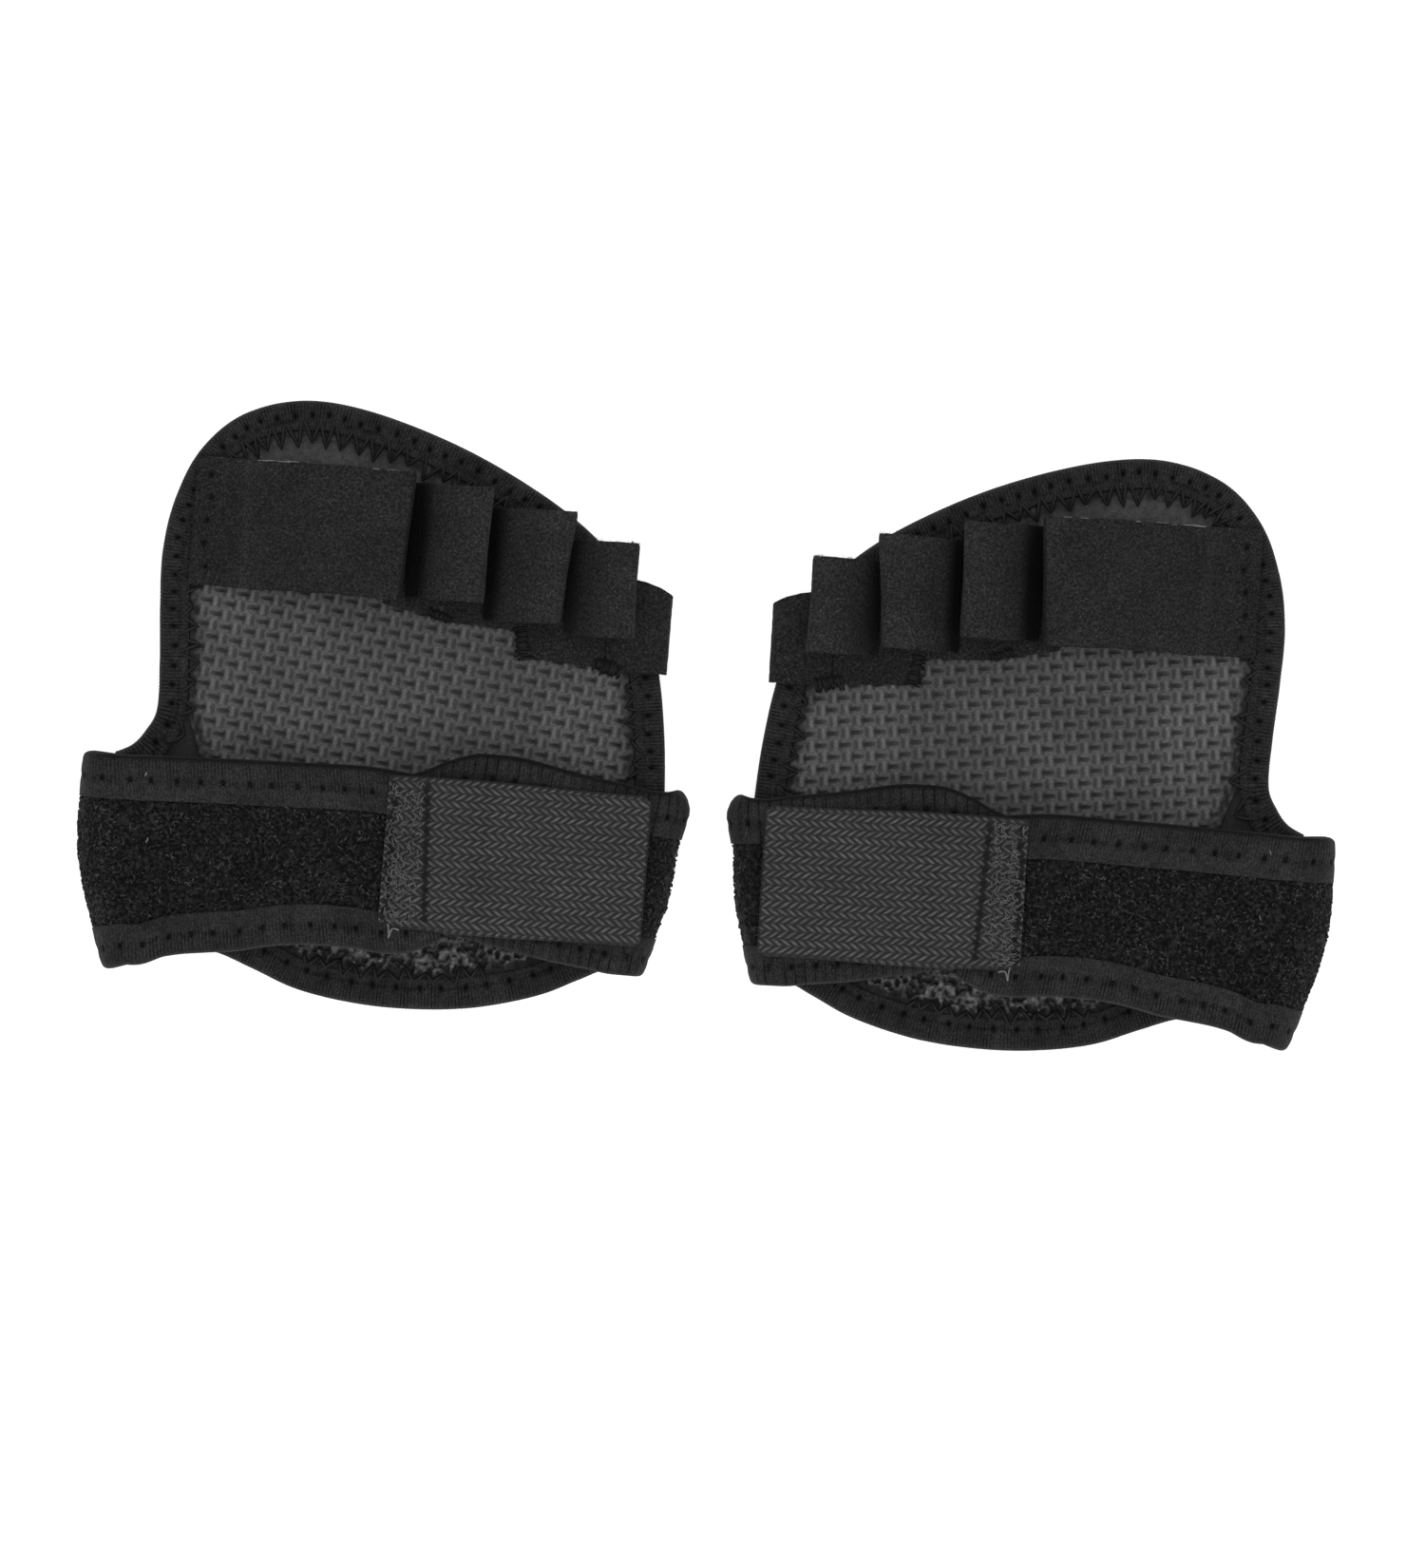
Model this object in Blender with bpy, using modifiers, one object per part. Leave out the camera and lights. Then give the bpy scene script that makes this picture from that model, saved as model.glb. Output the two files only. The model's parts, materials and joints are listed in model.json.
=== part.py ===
"""A pair of palm grips for lifting and bar work.

Each grip is a neoprene palm pad with an embossed inner face, four elastic finger loops across its
top, and a wrist wrap whose two ends fold over the front and close with a hook tab. The pair lies
flat, palms up, with the fingers' end towards +Y. The right-hand grip is modelled once, in its own
frame, and the left-hand grip is the same design mirrored.
"""

import math

import bmesh
import bpy
from mathutils import Matrix, Vector

MM = 0.001  # lengths below are in millimetres, and become metres where an object is made
GAP = 0.3  # clearance between pieces that lie on each other

# Layers of the palm pad, counted up from the table
SKIN = 0.9  # grip patch, embossed face and both legs of the pad's binding
CORE = 2.2  # neoprene core of the pad
CORE_MID = SKIN + GAP + CORE / 2
FACE_BOTTOM = SKIN + GAP + CORE + GAP
PAD_TOP = FACE_BOTTOM + SKIN

# Layers of the wrist wrap, counted from the middle of its core
WRAP_CORE = 2.0
WRAP_PILE = 0.7
TAPE = 0.7  # binding tape of the wrap
WRAP_HALF = WRAP_CORE / 2 + GAP + TAPE  # half the thickness of a bound edge
ELASTIC = 1.0  # finger loops and their base strip
WEBBING = 1.1  # closure tab
HOOK = 0.8
THREAD = 0.5

PAD_TAPE_WIDTH = 6.0
TOP_TAPE_WIDTH = 8.8
BOTTOM_TAPE_WIDTH = 8.2
TAPE_BACK_WIDTH = 5.0
PILE_GAP = 0.7

# Outlines of the right-hand grip, seen from its inner face, as knots of smooth lines
PAD_EDGE = [
    (-59, 0.4), (-57, 1.5), (-54.6, 4.4), (-52.6, 9), (-52.8, 18), (-53.7, 30), (-54, 41),
    (-52.3, 51.5), (-48, 61.6), (-40, 69.4), (-28, 73.1), (-14, 71.9), (4, 66.4), (20, 58.8),
    (32, 50.8), (41.5, 41), (46.1, 33), (47.3, 25), (48.6, 18), (49.8, 9), (50.6, 1),
]  # fmt: skip
HEEL_EDGE = [
    (-52.8, -41.1), (-46, -39.4), (-38, -38.6), (-30, -41.2), (-20, -44.9), (-8, -46.8),
    (4, -47), (16, -45.7), (28, -42.4), (36, -38.6), (41, -36.2), (43.9, -36.2),
]  # fmt: skip
THUMB_TOP = [(-58.6, -0.6), (-40, 0.1), (-20, 0.7), (-8, 0.9), (3.4, -0.4)]
THUMB_BOTTOM = [
    (-52.2, -42), (-50, -41.2), (-44, -39.6), (-38, -38.7), (-32, -37.9), (-26, -36.5),
    (-18, -35.5), (-9, -35.5), (-2, -36), (4, -34.8), (10, -31.4),
]  # fmt: skip
LITTLE_TOP = [(-3, -0.6), (2, 0.8), (7, 3.3), (12, 5), (17, 5.3), (23, 4.9), (34, 2.8), (49.3, 0.7)]
LITTLE_BOTTOM = [(-3, -30.6), (8, -31), (18, -32.8), (30, -35), (44, -36.6)]
BASE_STRIP = [
    (-9, 33.6), (0, 32), (5, 30.6), (18.8, 30.4), (18.8, 25), (34, 24.3), (43.8, 23.9),
    (43.8, 42), (28, 46), (10, 50), (-9, 52),
]  # fmt: skip

# Fold lines of the wrap, from the fingers' side to the wrist's side, and its height there
THUMB_HINGE = ((-59.5, -0.6), (-53.7, -42.4))
LITTLE_HINGE = ((49.7, 0.6), (43.8, -36.6))
THUMB_RISE = 12.0  # from the middle of the pad's core up to the middle of the folded-over end
LITTLE_RISE = 10.8
OVERLAP_RISE = 15.7  # the same for the thumb end where it lies on the little-finger end
LITTLE_CROWN = 0.6

# Closure tab
TAB_ROOT_X = -4.2
TAB_HINGE_X = 4.0
TAB_TIP_X = 48.2
TAB_TOP_Y = -0.8
TAB_BOTTOM_Y = -30.6
TAB_CORNER = 2.5
TAB_LEVEL = CORE_MID + LITTLE_RISE + LITTLE_CROWN + WRAP_HALF + GAP + HOOK + GAP + WEBBING / 2
TAB_ROOT_LEVEL = CORE_MID + OVERLAP_RISE + WRAP_HALF + GAP + WEBBING / 2

# Finger loops: name, left foot, crest at the top, crest at the bottom, top y, bottom y
LOOP_RISE = 10.2
BASE_BOTTOM = PAD_TOP + GAP
LOOP_FOOT = BASE_BOTTOM + ELASTIC + GAP + ELASTIC / 2
LOOPS = [
    ("index_loop", -41.0, -4.2, -5.6, 60.2, 34.4),
    ("middle_loop", -4.3, 11.4, 11.1, 58.3, 35.2),
    ("ring_loop", 11.6, 28.4, 26.6, 54.6, 31.9),
    ("little_loop", 28.0, 41.2, 41.6, 49.6, 30.4),
]
INDEX_SEAM_X = -46.0
TAIL_X = 48.4
TAIL_START_X = 44.2

# Bars of dense stitching on the base strip: name, middle, size
BARTACKS = [
    ("index_bartack", (0.5, 33.2), (4.0, 1.2)),
    ("ring_bartack", (20.4, 27.6), (1.2, 4.4)),
    ("little_bartack", (36.5, 26.5), (4.4, 1.2)),
]

# The pair on the table: where each grip's own origin lies, and how it is turned
RIGHT_PLACE = ((-58.8, -9.8), -4.6)
LEFT_PLACE = ((59.8, -18.1), -3.4)

# Colours as linear values, with roughness
MATERIALS = {
    "neoprene": (0.022, 0.95),
    "embossed_rubber": (0.058, 0.72),
    "binding_tape": (0.020, 0.85),
    "loop_pile": (0.012, 1.0),
    "finger_elastic": (0.020, 0.9),
    "woven_elastic": (0.047, 0.85),
    "hook_tape": (0.030, 0.6),
    "thread": (0.010, 0.7),
}


def clear_scene():
    for obj in list(bpy.data.objects):
        bpy.data.objects.remove(obj)


def make_collection(name):
    collection = bpy.data.collections.new(name)
    bpy.context.scene.collection.children.link(collection)
    return collection


def make_materials():
    for name, (grey, roughness) in MATERIALS.items():
        material = bpy.data.materials.new(name)
        material.use_nodes = True
        shader = material.node_tree.nodes["Principled BSDF"]
        shader.inputs["Base Color"].default_value = (grey, grey, grey, 1)
        shader.inputs["Roughness"].default_value = roughness
        shader.inputs["Metallic"].default_value = 0


def smooth_line(knots, steps=3):
    """Points of a smooth line through the knots, with this many steps between two knots."""
    ends = [knots[0], *knots, knots[-1]]
    line = []
    for before, start, end, after in zip(ends, ends[1:], ends[2:], ends[3:]):
        for step in range(steps):
            t = step / steps
            line.append(
                tuple(
                    s + 0.5 * t * (e - b + t * (2 * b - 5 * s + 4 * e - a + t * (3 * (s - e) + a - b)))
                    for b, s, e, a in zip(before, start, end, after)
                )
            )
    return [*line, tuple(knots[-1])]


def inset(line, distance):
    """The line moved to the right of the way it runs, which is inwards on a clockwise outline."""
    moved = []
    for i, (x, y) in enumerate(line):
        ahead = Vector(line[min(i + 1, len(line) - 1)][:2])
        behind = Vector(line[max(i - 1, 0)][:2])
        along = (ahead - behind).normalized()
        moved.append((x + along.y * distance, y - along.x * distance))
    return moved


def height_at(line, x):
    """The y of a line at x, for a line that runs towards +X."""
    for (x0, y0), (x1, y1) in zip(line, line[1:]):
        if x <= x1:
            return y0 + (y1 - y0) * max(x - x0, 0) / (x1 - x0)
    return line[-1][1]


def blend(a, b, t):
    return a + (b - a) * t


def ease(t):
    t = min(max(t, 0), 1)
    return t * t * (3 - 2 * t)


def between(line, t):
    """A point of a straight fold line, from its fingers' end at 0 to its wrist end at 1."""
    (x0, y0), (x1, y1) = line
    return blend(x0, x1, t), blend(y0, y1, t)


class Grip:
    """One grip: its empties, and the functions that add its pieces in the grip's own frame."""

    def __init__(self, side, place, mirrored, parts, guides):
        self.side = side
        self.parts = parts
        self.guides = guides
        self.frame = bpy.data.objects.new(f"{side}_grip_frame", None)
        (x, y), turn = place
        self.frame.location = (x * MM, y * MM, 0)
        self.frame.rotation_euler.z = math.radians(turn)
        self.frame.scale.x = -1 if mirrored else 1
        parts.objects.link(self.frame)

    def joint(self, name, point):
        """An empty on a joint's axis, which carries the pieces that the joint moves."""
        empty = bpy.data.objects.new(f"{self.side}_{name}", None)
        empty.parent = self.frame
        empty.location = Vector(point) * MM
        self.parts.objects.link(empty)
        return empty

    def add(self, name, data, material, carrier=None, lift=0):
        """A named object in the grip's frame. Its parent empty stands on its joint's axis."""
        obj = bpy.data.objects.new(f"{self.side}_{name}", data)
        obj.data.materials.append(bpy.data.materials[material])
        self.parts.objects.link(obj)
        obj.parent = carrier or self.frame
        if carrier:
            obj.matrix_parent_inverse = Matrix.Translation(-carrier.location)
        obj.location.z = lift * MM
        return obj

    def flat(self, name, outline, bottom, thickness, material):
        """A sheet cut to an outline, lying level."""
        curve = bpy.data.curves.new(name, "CURVE")
        curve.dimensions = "2D"
        curve.fill_mode = "BOTH"
        curve.extrude = thickness / 2 * MM
        spline = curve.splines.new("POLY")
        spline.points.add(len(outline) - 1)
        for point, (x, y) in zip(spline.points, outline):
            point.co = (x * MM, y * MM, 0, 1)
        spline.use_cyclic_u = True
        return self.add(name, curve, material, lift=bottom + thickness / 2)

    def profile(self, name, points):
        """A closed cross-section, kept as a guide: x runs inwards from the edge, y runs up."""
        curve = bpy.data.curves.new(name, "CURVE")
        curve.dimensions = "2D"
        spline = curve.splines.new("POLY")
        spline.points.add(len(points) - 1)
        for point, (inwards, up) in zip(spline.points, points):
            point.co = (inwards * MM, up * MM, 0, 1)
        spline.use_cyclic_u = True
        guide = bpy.data.objects.new(f"{self.side}_{name}_guide", curve)
        guide.hide_render = True
        guide.display_type = "WIRE"
        self.guides.objects.link(guide)
        return guide

    def binding(self, name, path, half, tape, front, back, carrier=None):
        """Binding tape folded round an edge: a U of tape swept along the edge's middle."""
        section = [
            (0, half), (front, half), (front, half - tape), (tape, half - tape),
            (tape, tape - half), (back, tape - half), (back, -half), (0, -half),
        ]  # fmt: skip
        curve = bpy.data.curves.new(name, "CURVE")
        curve.dimensions = "3D"
        curve.twist_mode = "Z_UP"
        curve.bevel_mode = "OBJECT"
        curve.bevel_object = self.profile(name, section)
        curve.use_fill_caps = True
        spline = curve.splines.new("POLY")
        spline.points.add(len(path) - 1)
        for point, co in zip(spline.points, path):
            point.co = (*(Vector(co) * MM), 1)
        return self.add(name, curve, "binding_tape", carrier)

    def cloth(self, name, place, columns, rows, thickness, material, carrier=None):
        """A sheet of cloth: place gives the middle of the sheet at u and v, both 0 to 1."""
        mesh = bpy.data.meshes.new(name)
        grid = bmesh.new()
        bmesh.ops.create_grid(grid, x_segments=columns, y_segments=rows, size=0.5)
        for vertex in grid.verts:
            vertex.co = Vector(place(vertex.co.x + 0.5, vertex.co.y + 0.5)) * MM
        grid.to_mesh(mesh)
        grid.free()
        sheet = self.add(name, mesh, material, carrier)
        thicken = sheet.modifiers.new("thickness", "SOLIDIFY")
        thicken.thickness = thickness * MM
        thicken.offset = 0
        thicken.use_even_offset = True
        return sheet

    def bartack(self, name, middle, size):
        """A dense bar of thread across the end of a seam."""
        mesh = bpy.data.meshes.new(name)
        bar = bmesh.new()
        bmesh.ops.create_cube(bar, size=MM)
        bmesh.ops.scale(bar, vec=size, verts=bar.verts)
        bmesh.ops.translate(bar, vec=Vector(middle) * MM, verts=bar.verts)
        bar.to_mesh(mesh)
        bar.free()
        return self.add(name, mesh, "thread")

    def seam(self, name, path, carrier):
        """A line of thread along a path."""
        curve = bpy.data.curves.new(name, "CURVE")
        curve.dimensions = "3D"
        curve.bevel_depth = THREAD / 2 * MM
        curve.bevel_resolution = 1
        curve.use_fill_caps = True
        spline = curve.splines.new("POLY")
        spline.points.add(len(path) - 1)
        for point, co in zip(spline.points, path):
            point.co = (*(Vector(co) * MM), 1)
        return self.add(name, curve, "thread", carrier)


def pad_outline(margin):
    """The pad's outline, moved in from its edge, closed along the wrap's two fold lines."""
    upper = inset(smooth_line(PAD_EDGE), margin)[3:-1]
    heel = inset(smooth_line(HEEL_EDGE)[::-1], margin)[1:-1]
    thumb = [between(THUMB_HINGE, t) for t in (0.93, 0.5, 0.04)]
    little = [between(LITTLE_HINGE, t) for t in (0.04, 0.5, 0.93)]
    return [*upper, *little, *heel, *thumb]


def face_outline(margin):
    """The pad's inner area, inside its binding, across the wrist and down to the heel."""
    upper = inset(smooth_line(PAD_EDGE), margin)[8:-2]
    heel = inset(smooth_line(HEEL_EDGE)[::-1], margin)[6:-12]
    return [*upper, *heel]


def build_pad(grip):
    grip.flat("palm_core", pad_outline(SKIN + GAP), SKIN + GAP, CORE, "neoprene")
    inner = face_outline(PAD_TAPE_WIDTH + GAP)
    grip.flat("palm_face", inner, FACE_BOTTOM, SKIN, "embossed_rubber")
    grip.flat("grip_patch", inner, 0, SKIN, "embossed_rubber")
    for name, edge in (("pad_binding", PAD_EDGE), ("heel_binding", HEEL_EDGE[::-1])):
        path = [(x, y, PAD_TOP / 2) for x, y in smooth_line(edge)]
        grip.binding(name, path, PAD_TOP / 2, SKIN, PAD_TAPE_WIDTH, PAD_TAPE_WIDTH)


def loop_profile(left, crest, start):
    """A loop's strip from its left foot over its crest, where it turns back down to the pad."""
    width = crest - left
    top = LOOP_FOOT + LOOP_RISE
    knots = [(left, start)]
    for share in (0.1, 0.25, 0.5, 0.75):
        knots.append((left + share * width, start + (top - start) * (1 - (1 - share) ** 2.4)))
    knots += [(crest - 1.3, top), (crest, top - 1.3), (crest - 0.7, top - 5), (crest - 2, LOOP_FOOT)]
    return smooth_line(knots, 2)


def build_loops(grip):
    """Four loops of one elastic strip, sewn down between the fingers; each leans outwards."""
    carrier = grip.joint("loops_stretch", (10, 45, LOOP_FOOT))
    for name, left, crest_top, crest_bottom, top, bottom in LOOPS:
        crest = (crest_top + crest_bottom) / 2
        line = loop_profile(left, crest, LOOP_FOOT)
        if name == "index_loop":
            line = [(INDEX_SEAM_X - 2, LOOP_FOOT - ELASTIC), *line]
        lean = (crest_top - crest_bottom) / 2

        def place(u, v, line=line, lean=lean, left=left, crest=crest, top=top, bottom=bottom):
            x, z = line[round(u * (len(line) - 1))]
            shift = lean * (2 * v - 1) * ease((x - left) / (crest - left))
            return x + shift, blend(bottom, top, v), z

        grip.cloth(name, place, len(line) - 1, 1, ELASTIC, "finger_elastic", carrier)
    grip.flat("loop_base_strip", BASE_STRIP, BASE_BOTTOM, ELASTIC, "finger_elastic")
    level = BASE_BOTTOM + ELASTIC / 2
    tail = [(TAIL_START_X, level), (TAIL_X - 1, level), (TAIL_X, level - 1.1), (TAIL_X, 1)]

    def tail_place(u, v):
        """The strip's end, turned down over the edge of the pad and narrowing slightly."""
        x, z = tail[round(u * (len(tail) - 1))]
        top = blend(42.1, 40.2, (x - TAIL_START_X) / (TAIL_X - TAIL_START_X))
        return x, blend(23.7, top, v), z

    grip.cloth("loop_strip_tail", tail_place, len(tail) - 1, 1, ELASTIC, "finger_elastic")
    on_base = BASE_BOTTOM + ELASTIC + GAP + THREAD / 2
    for name, middle, size in BARTACKS:
        grip.bartack(name, (*middle, on_base), (*size, THREAD))


def thumb_level(x):
    rise = blend(THUMB_RISE, OVERLAP_RISE, ease((x + 56) / 48))
    return CORE_MID + rise


def little_level(x):
    crown = math.sin(math.pi * min(max((50 - x) / 53, 0), 1))
    return CORE_MID + LITTLE_RISE + LITTLE_CROWN * crown


def fold_place(hinge, rise, reach, outwards):
    """The bend where the wrap turns from the back of the wrist over to the front.

    reach is how far it stands out from the fold line, as a function of v along that line.
    """

    def place(u, v):
        turn = math.pi * blend(0.02, 0.98, u)
        x, y = between(hinge, v)
        across = GAP + reach(v) * math.sin(turn)
        return x + outwards * across, y, CORE_MID + rise / 2 - rise / 2 * math.cos(turn)

    return place


def end_place(top, bottom, hinge, end, level, margins, lift=0):
    """One end of the wrap, from its fold line to its cut end, inside the given edge margins."""
    upper = inset(smooth_line(top), margins[0])
    lower = inset(smooth_line(bottom), -margins[1])

    def place(u, v):
        start = between(hinge, v)[0]
        x = blend(start, blend(end[0], end[1], v), u)
        return x, blend(height_at(upper, x), height_at(lower, x), v), level(x) + lift

    return place


def edge_path(knots, level, stop):
    """The line of a wrap's edge in space, from its fold line to where its binding stops."""
    line = [p for p in smooth_line(knots) if p[0] <= stop]
    return [(x, y, level(x)) for x, y in line]


def build_thumb_wrap(grip):
    x, y = between(THUMB_HINGE, 0.5)
    carrier = grip.joint("thumb_wrap_hinge", (x, y, CORE_MID + THUMB_RISE / 2))

    def reach(v):
        return 5.9 - 2 * v + 3 * math.sin(math.pi * v)

    fold = fold_place(THUMB_HINGE, THUMB_RISE, reach, -1)
    grip.cloth("thumb_fold", fold, 12, 4, WRAP_CORE, "neoprene")
    edge = TAPE + GAP
    end = (2.2, 8.4)
    core = end_place(THUMB_TOP, THUMB_BOTTOM, THUMB_HINGE, end, thumb_level, (edge, edge))
    grip.cloth("thumb_wrap_core", core, 14, 4, WRAP_CORE, "neoprene", carrier)
    pile = end_place(
        THUMB_TOP, THUMB_BOTTOM, THUMB_HINGE, end, thumb_level,
        (TOP_TAPE_WIDTH + PILE_GAP, BOTTOM_TAPE_WIDTH + PILE_GAP), WRAP_CORE / 2 + GAP + WRAP_PILE / 2,
    )  # fmt: skip
    grip.cloth("thumb_wrap_pile", pile, 14, 3, WRAP_PILE, "loop_pile", carrier)
    top = edge_path(THUMB_TOP, thumb_level, 3.4)
    bottom = edge_path(THUMB_BOTTOM, thumb_level, 10)[::-1]
    for name, path, width in (
        ("thumb_wrap_top_binding", top, TOP_TAPE_WIDTH),
        ("thumb_wrap_bottom_binding", bottom, BOTTOM_TAPE_WIDTH),
    ):
        grip.binding(name, path, WRAP_HALF, TAPE, width, TAPE_BACK_WIDTH, carrier)
    return carrier


def build_little_wrap(grip):
    x, y = between(LITTLE_HINGE, 0.5)
    carrier = grip.joint("little_wrap_hinge", (x, y, CORE_MID + LITTLE_RISE / 2))

    def reach(v):
        return 4.7 - 0.4 * v + 0.8 * math.sin(math.pi * v)

    fold = fold_place(LITTLE_HINGE, LITTLE_RISE, reach, 1)
    grip.cloth("little_fold", fold, 12, 3, WRAP_CORE, "neoprene")
    edge = TAPE + GAP
    end = (-2.6, -2.6)
    core = end_place(LITTLE_TOP, LITTLE_BOTTOM, LITTLE_HINGE, end, little_level, (edge, edge))
    grip.cloth("little_wrap_core", core, 12, 3, WRAP_CORE, "neoprene", carrier)
    pile = end_place(
        LITTLE_TOP, LITTLE_BOTTOM, LITTLE_HINGE, end, little_level,
        (TOP_TAPE_WIDTH + PILE_GAP, BOTTOM_TAPE_WIDTH + PILE_GAP), WRAP_CORE / 2 + GAP + WRAP_PILE / 2,
    )  # fmt: skip
    grip.cloth("little_wrap_pile", pile, 12, 3, WRAP_PILE, "loop_pile", carrier)
    top = edge_path(LITTLE_TOP, little_level, 50)
    bottom = edge_path(LITTLE_BOTTOM, little_level, 44)[::-1]
    for name, path, width in (
        ("little_wrap_top_binding", top, TOP_TAPE_WIDTH),
        ("little_wrap_bottom_binding", bottom, BOTTOM_TAPE_WIDTH),
    ):
        grip.binding(name, path, WRAP_HALF, TAPE, width, TAPE_BACK_WIDTH, carrier)


def tab_level(x):
    """The tab runs level over the end of the thumb wrap, then down onto the other end's pile."""
    return blend(TAB_ROOT_LEVEL, TAB_LEVEL, ease((x - 10.5) / 8))


def tab_place(start, end, margin=0, lift=0):
    """The tab between two x values; its tip has round corners."""

    def place(u, v):
        x = blend(start, end, u)
        into_corner = max(x - (TAB_TIP_X - TAB_CORNER), 0)
        narrowing = TAB_CORNER - math.sqrt(max(TAB_CORNER**2 - into_corner**2, 0))
        top = TAB_TOP_Y - margin - narrowing
        bottom = TAB_BOTTOM_Y + margin + narrowing
        return x, blend(top, bottom, v), tab_level(x) + lift

    return place


def build_tab(grip, wrap_carrier):
    """The woven tab is sewn to the thumb wrap's end; its hooks hold on the other end's pile."""
    middle = (TAB_TOP_Y + TAB_BOTTOM_Y) / 2
    carrier = grip.joint("tab_hinge", (TAB_HINGE_X, middle, TAB_ROOT_LEVEL + WEBBING / 2))
    root = tab_place(TAB_ROOT_X, TAB_HINGE_X - GAP / 2)
    grip.cloth("tab_root", root, 2, 3, WEBBING, "woven_elastic", wrap_carrier)
    free = tab_place(TAB_HINGE_X + GAP / 2, TAB_TIP_X)
    grip.cloth("closure_tab", free, 22, 4, WEBBING, "woven_elastic", carrier)
    under = -(WEBBING / 2 + GAP + HOOK / 2)
    hooks = tab_place(20, TAB_TIP_X - 3, margin=1.5, lift=under)
    grip.cloth("hook_patch", hooks, 4, 2, HOOK, "hook_tape", carrier)
    left, right = TAB_ROOT_X + 1, TAB_HINGE_X - 1.2
    top, bottom = TAB_TOP_Y - 1.5, TAB_BOTTOM_Y + 1.5
    level = TAB_ROOT_LEVEL + WEBBING / 2 + GAP + THREAD / 2
    corners = [(left, top), (left, bottom), (right, bottom), (right, top)]
    grip.seam("tab_stitching", [(x, y, level) for x, y in corners], wrap_carrier)


def build_grip(grip):
    build_pad(grip)
    build_loops(grip)
    wrap_carrier = build_thumb_wrap(grip)
    build_little_wrap(grip)
    build_tab(grip, wrap_carrier)


def main():
    clear_scene()
    make_materials()
    parts = make_collection("hand_grips")
    guides = make_collection("guides")
    build_grip(Grip("right", RIGHT_PLACE, False, parts, guides))
    build_grip(Grip("left", LEFT_PLACE, True, parts, guides))


main()
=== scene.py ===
"""Looks of the pair of palm grips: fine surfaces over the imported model, one set for each grip.

Shapes are worked out in a grip's own frame, in millimetres, as part.py has it: palm up, fingers
towards +Y, thumb towards -X. That frame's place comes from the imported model's tab hinge.
"""

import json
import math

import bpy
import numpy as np
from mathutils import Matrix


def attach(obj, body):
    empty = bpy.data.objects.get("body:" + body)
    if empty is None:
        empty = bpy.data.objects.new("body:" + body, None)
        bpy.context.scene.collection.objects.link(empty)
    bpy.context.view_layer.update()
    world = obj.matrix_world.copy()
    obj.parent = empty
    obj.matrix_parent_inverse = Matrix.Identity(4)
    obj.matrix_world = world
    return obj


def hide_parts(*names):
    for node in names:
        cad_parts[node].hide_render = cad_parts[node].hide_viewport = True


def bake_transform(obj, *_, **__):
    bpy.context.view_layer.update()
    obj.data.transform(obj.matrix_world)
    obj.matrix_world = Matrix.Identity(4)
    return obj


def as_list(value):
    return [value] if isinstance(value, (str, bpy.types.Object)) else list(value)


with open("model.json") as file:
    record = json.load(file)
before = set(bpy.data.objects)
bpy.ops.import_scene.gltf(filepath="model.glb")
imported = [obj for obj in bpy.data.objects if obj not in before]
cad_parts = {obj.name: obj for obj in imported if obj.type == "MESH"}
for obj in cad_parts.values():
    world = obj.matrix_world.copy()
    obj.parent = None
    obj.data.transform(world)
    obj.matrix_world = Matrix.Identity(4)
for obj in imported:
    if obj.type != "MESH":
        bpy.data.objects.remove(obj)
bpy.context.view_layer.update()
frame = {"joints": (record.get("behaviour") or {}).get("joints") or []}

# Layers, as heights above the table
CORE_MID = 2.3
CORE_HALF = 1.1
PAD_TOP = 4.6
PAD_SKIN = 0.9
BASE_BOTTOM = 4.9
BASE_TOP = 5.9
LOOP_FOOT = 6.7
LOOP_RISE = 10.2
ELASTIC = 1.0

# Layers of the wrap, from the middle of its core
WRAP_CORE = 1.0
WRAP_HALF = 2.0
FOLD_SKIN = 1.95
TAPE = 0.7
PILE_TOP = 1.62

# How far each fold lifts the middle of the wrap above the middle of the pad's core
THUMB_RISE = 12.0
LITTLE_RISE = 10.8

# Outlines of the right-hand grip as knots of smooth lines
PAD_EDGE = [
    (-60.3, -0.2), (-57, 1.5), (-54.6, 4.4), (-52.6, 9), (-52.8, 18), (-53.7, 30), (-54, 41),
    (-52.3, 51.5), (-48, 61.6), (-40, 69.4), (-28, 73.1), (-14, 71.9), (4, 66.4), (20, 58.8),
    (32, 50.8), (41.5, 41), (46.1, 33), (47.3, 25), (48.6, 18), (49.8, 9), (50.5, -0.1),
]
HEEL_EDGE = [
    (-53.6, -41.3), (-46, -39.4), (-38, -38.6), (-30, -41.2), (-20, -44.9), (-8, -46.8),
    (4, -47), (16, -45.7), (28, -42.4), (36, -38.6), (41, -36.2), (44.5, -36.2),
]
THUMB_TOP = [(-60, -0.6), (-40, 0.1), (-20, 0.7), (-8, 0.9), (3.4, -0.4), (9, -2.5)]
THUMB_BOTTOM = [
    (-54, -42.6), (-50, -41.2), (-44, -39.6), (-38, -38.7), (-32, -37.9), (-26, -36.5),
    (-18, -35.5), (-9, -35.5), (-2, -36), (4, -34.8), (10, -31.4),
]
LITTLE_TOP = [(-3, -0.6), (2, 0.8), (7, 3.3), (12, 5), (17, 5.3), (23, 4.9), (34, 2.8), (50, 0.6)]
LITTLE_BOTTOM = [(-3, -30.6), (8, -31), (18, -32.8), (30, -35), (44, -36.6)]
BASE_STRIP = [
    (-9, 33.6), (0, 32), (3, 31), (18.8, 30.4), (18.8, 25.2), (33, 24.4), (36.4, 24.3),
    (36.4, 44), (28, 46), (10, 50), (-9, 52),
]
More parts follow.
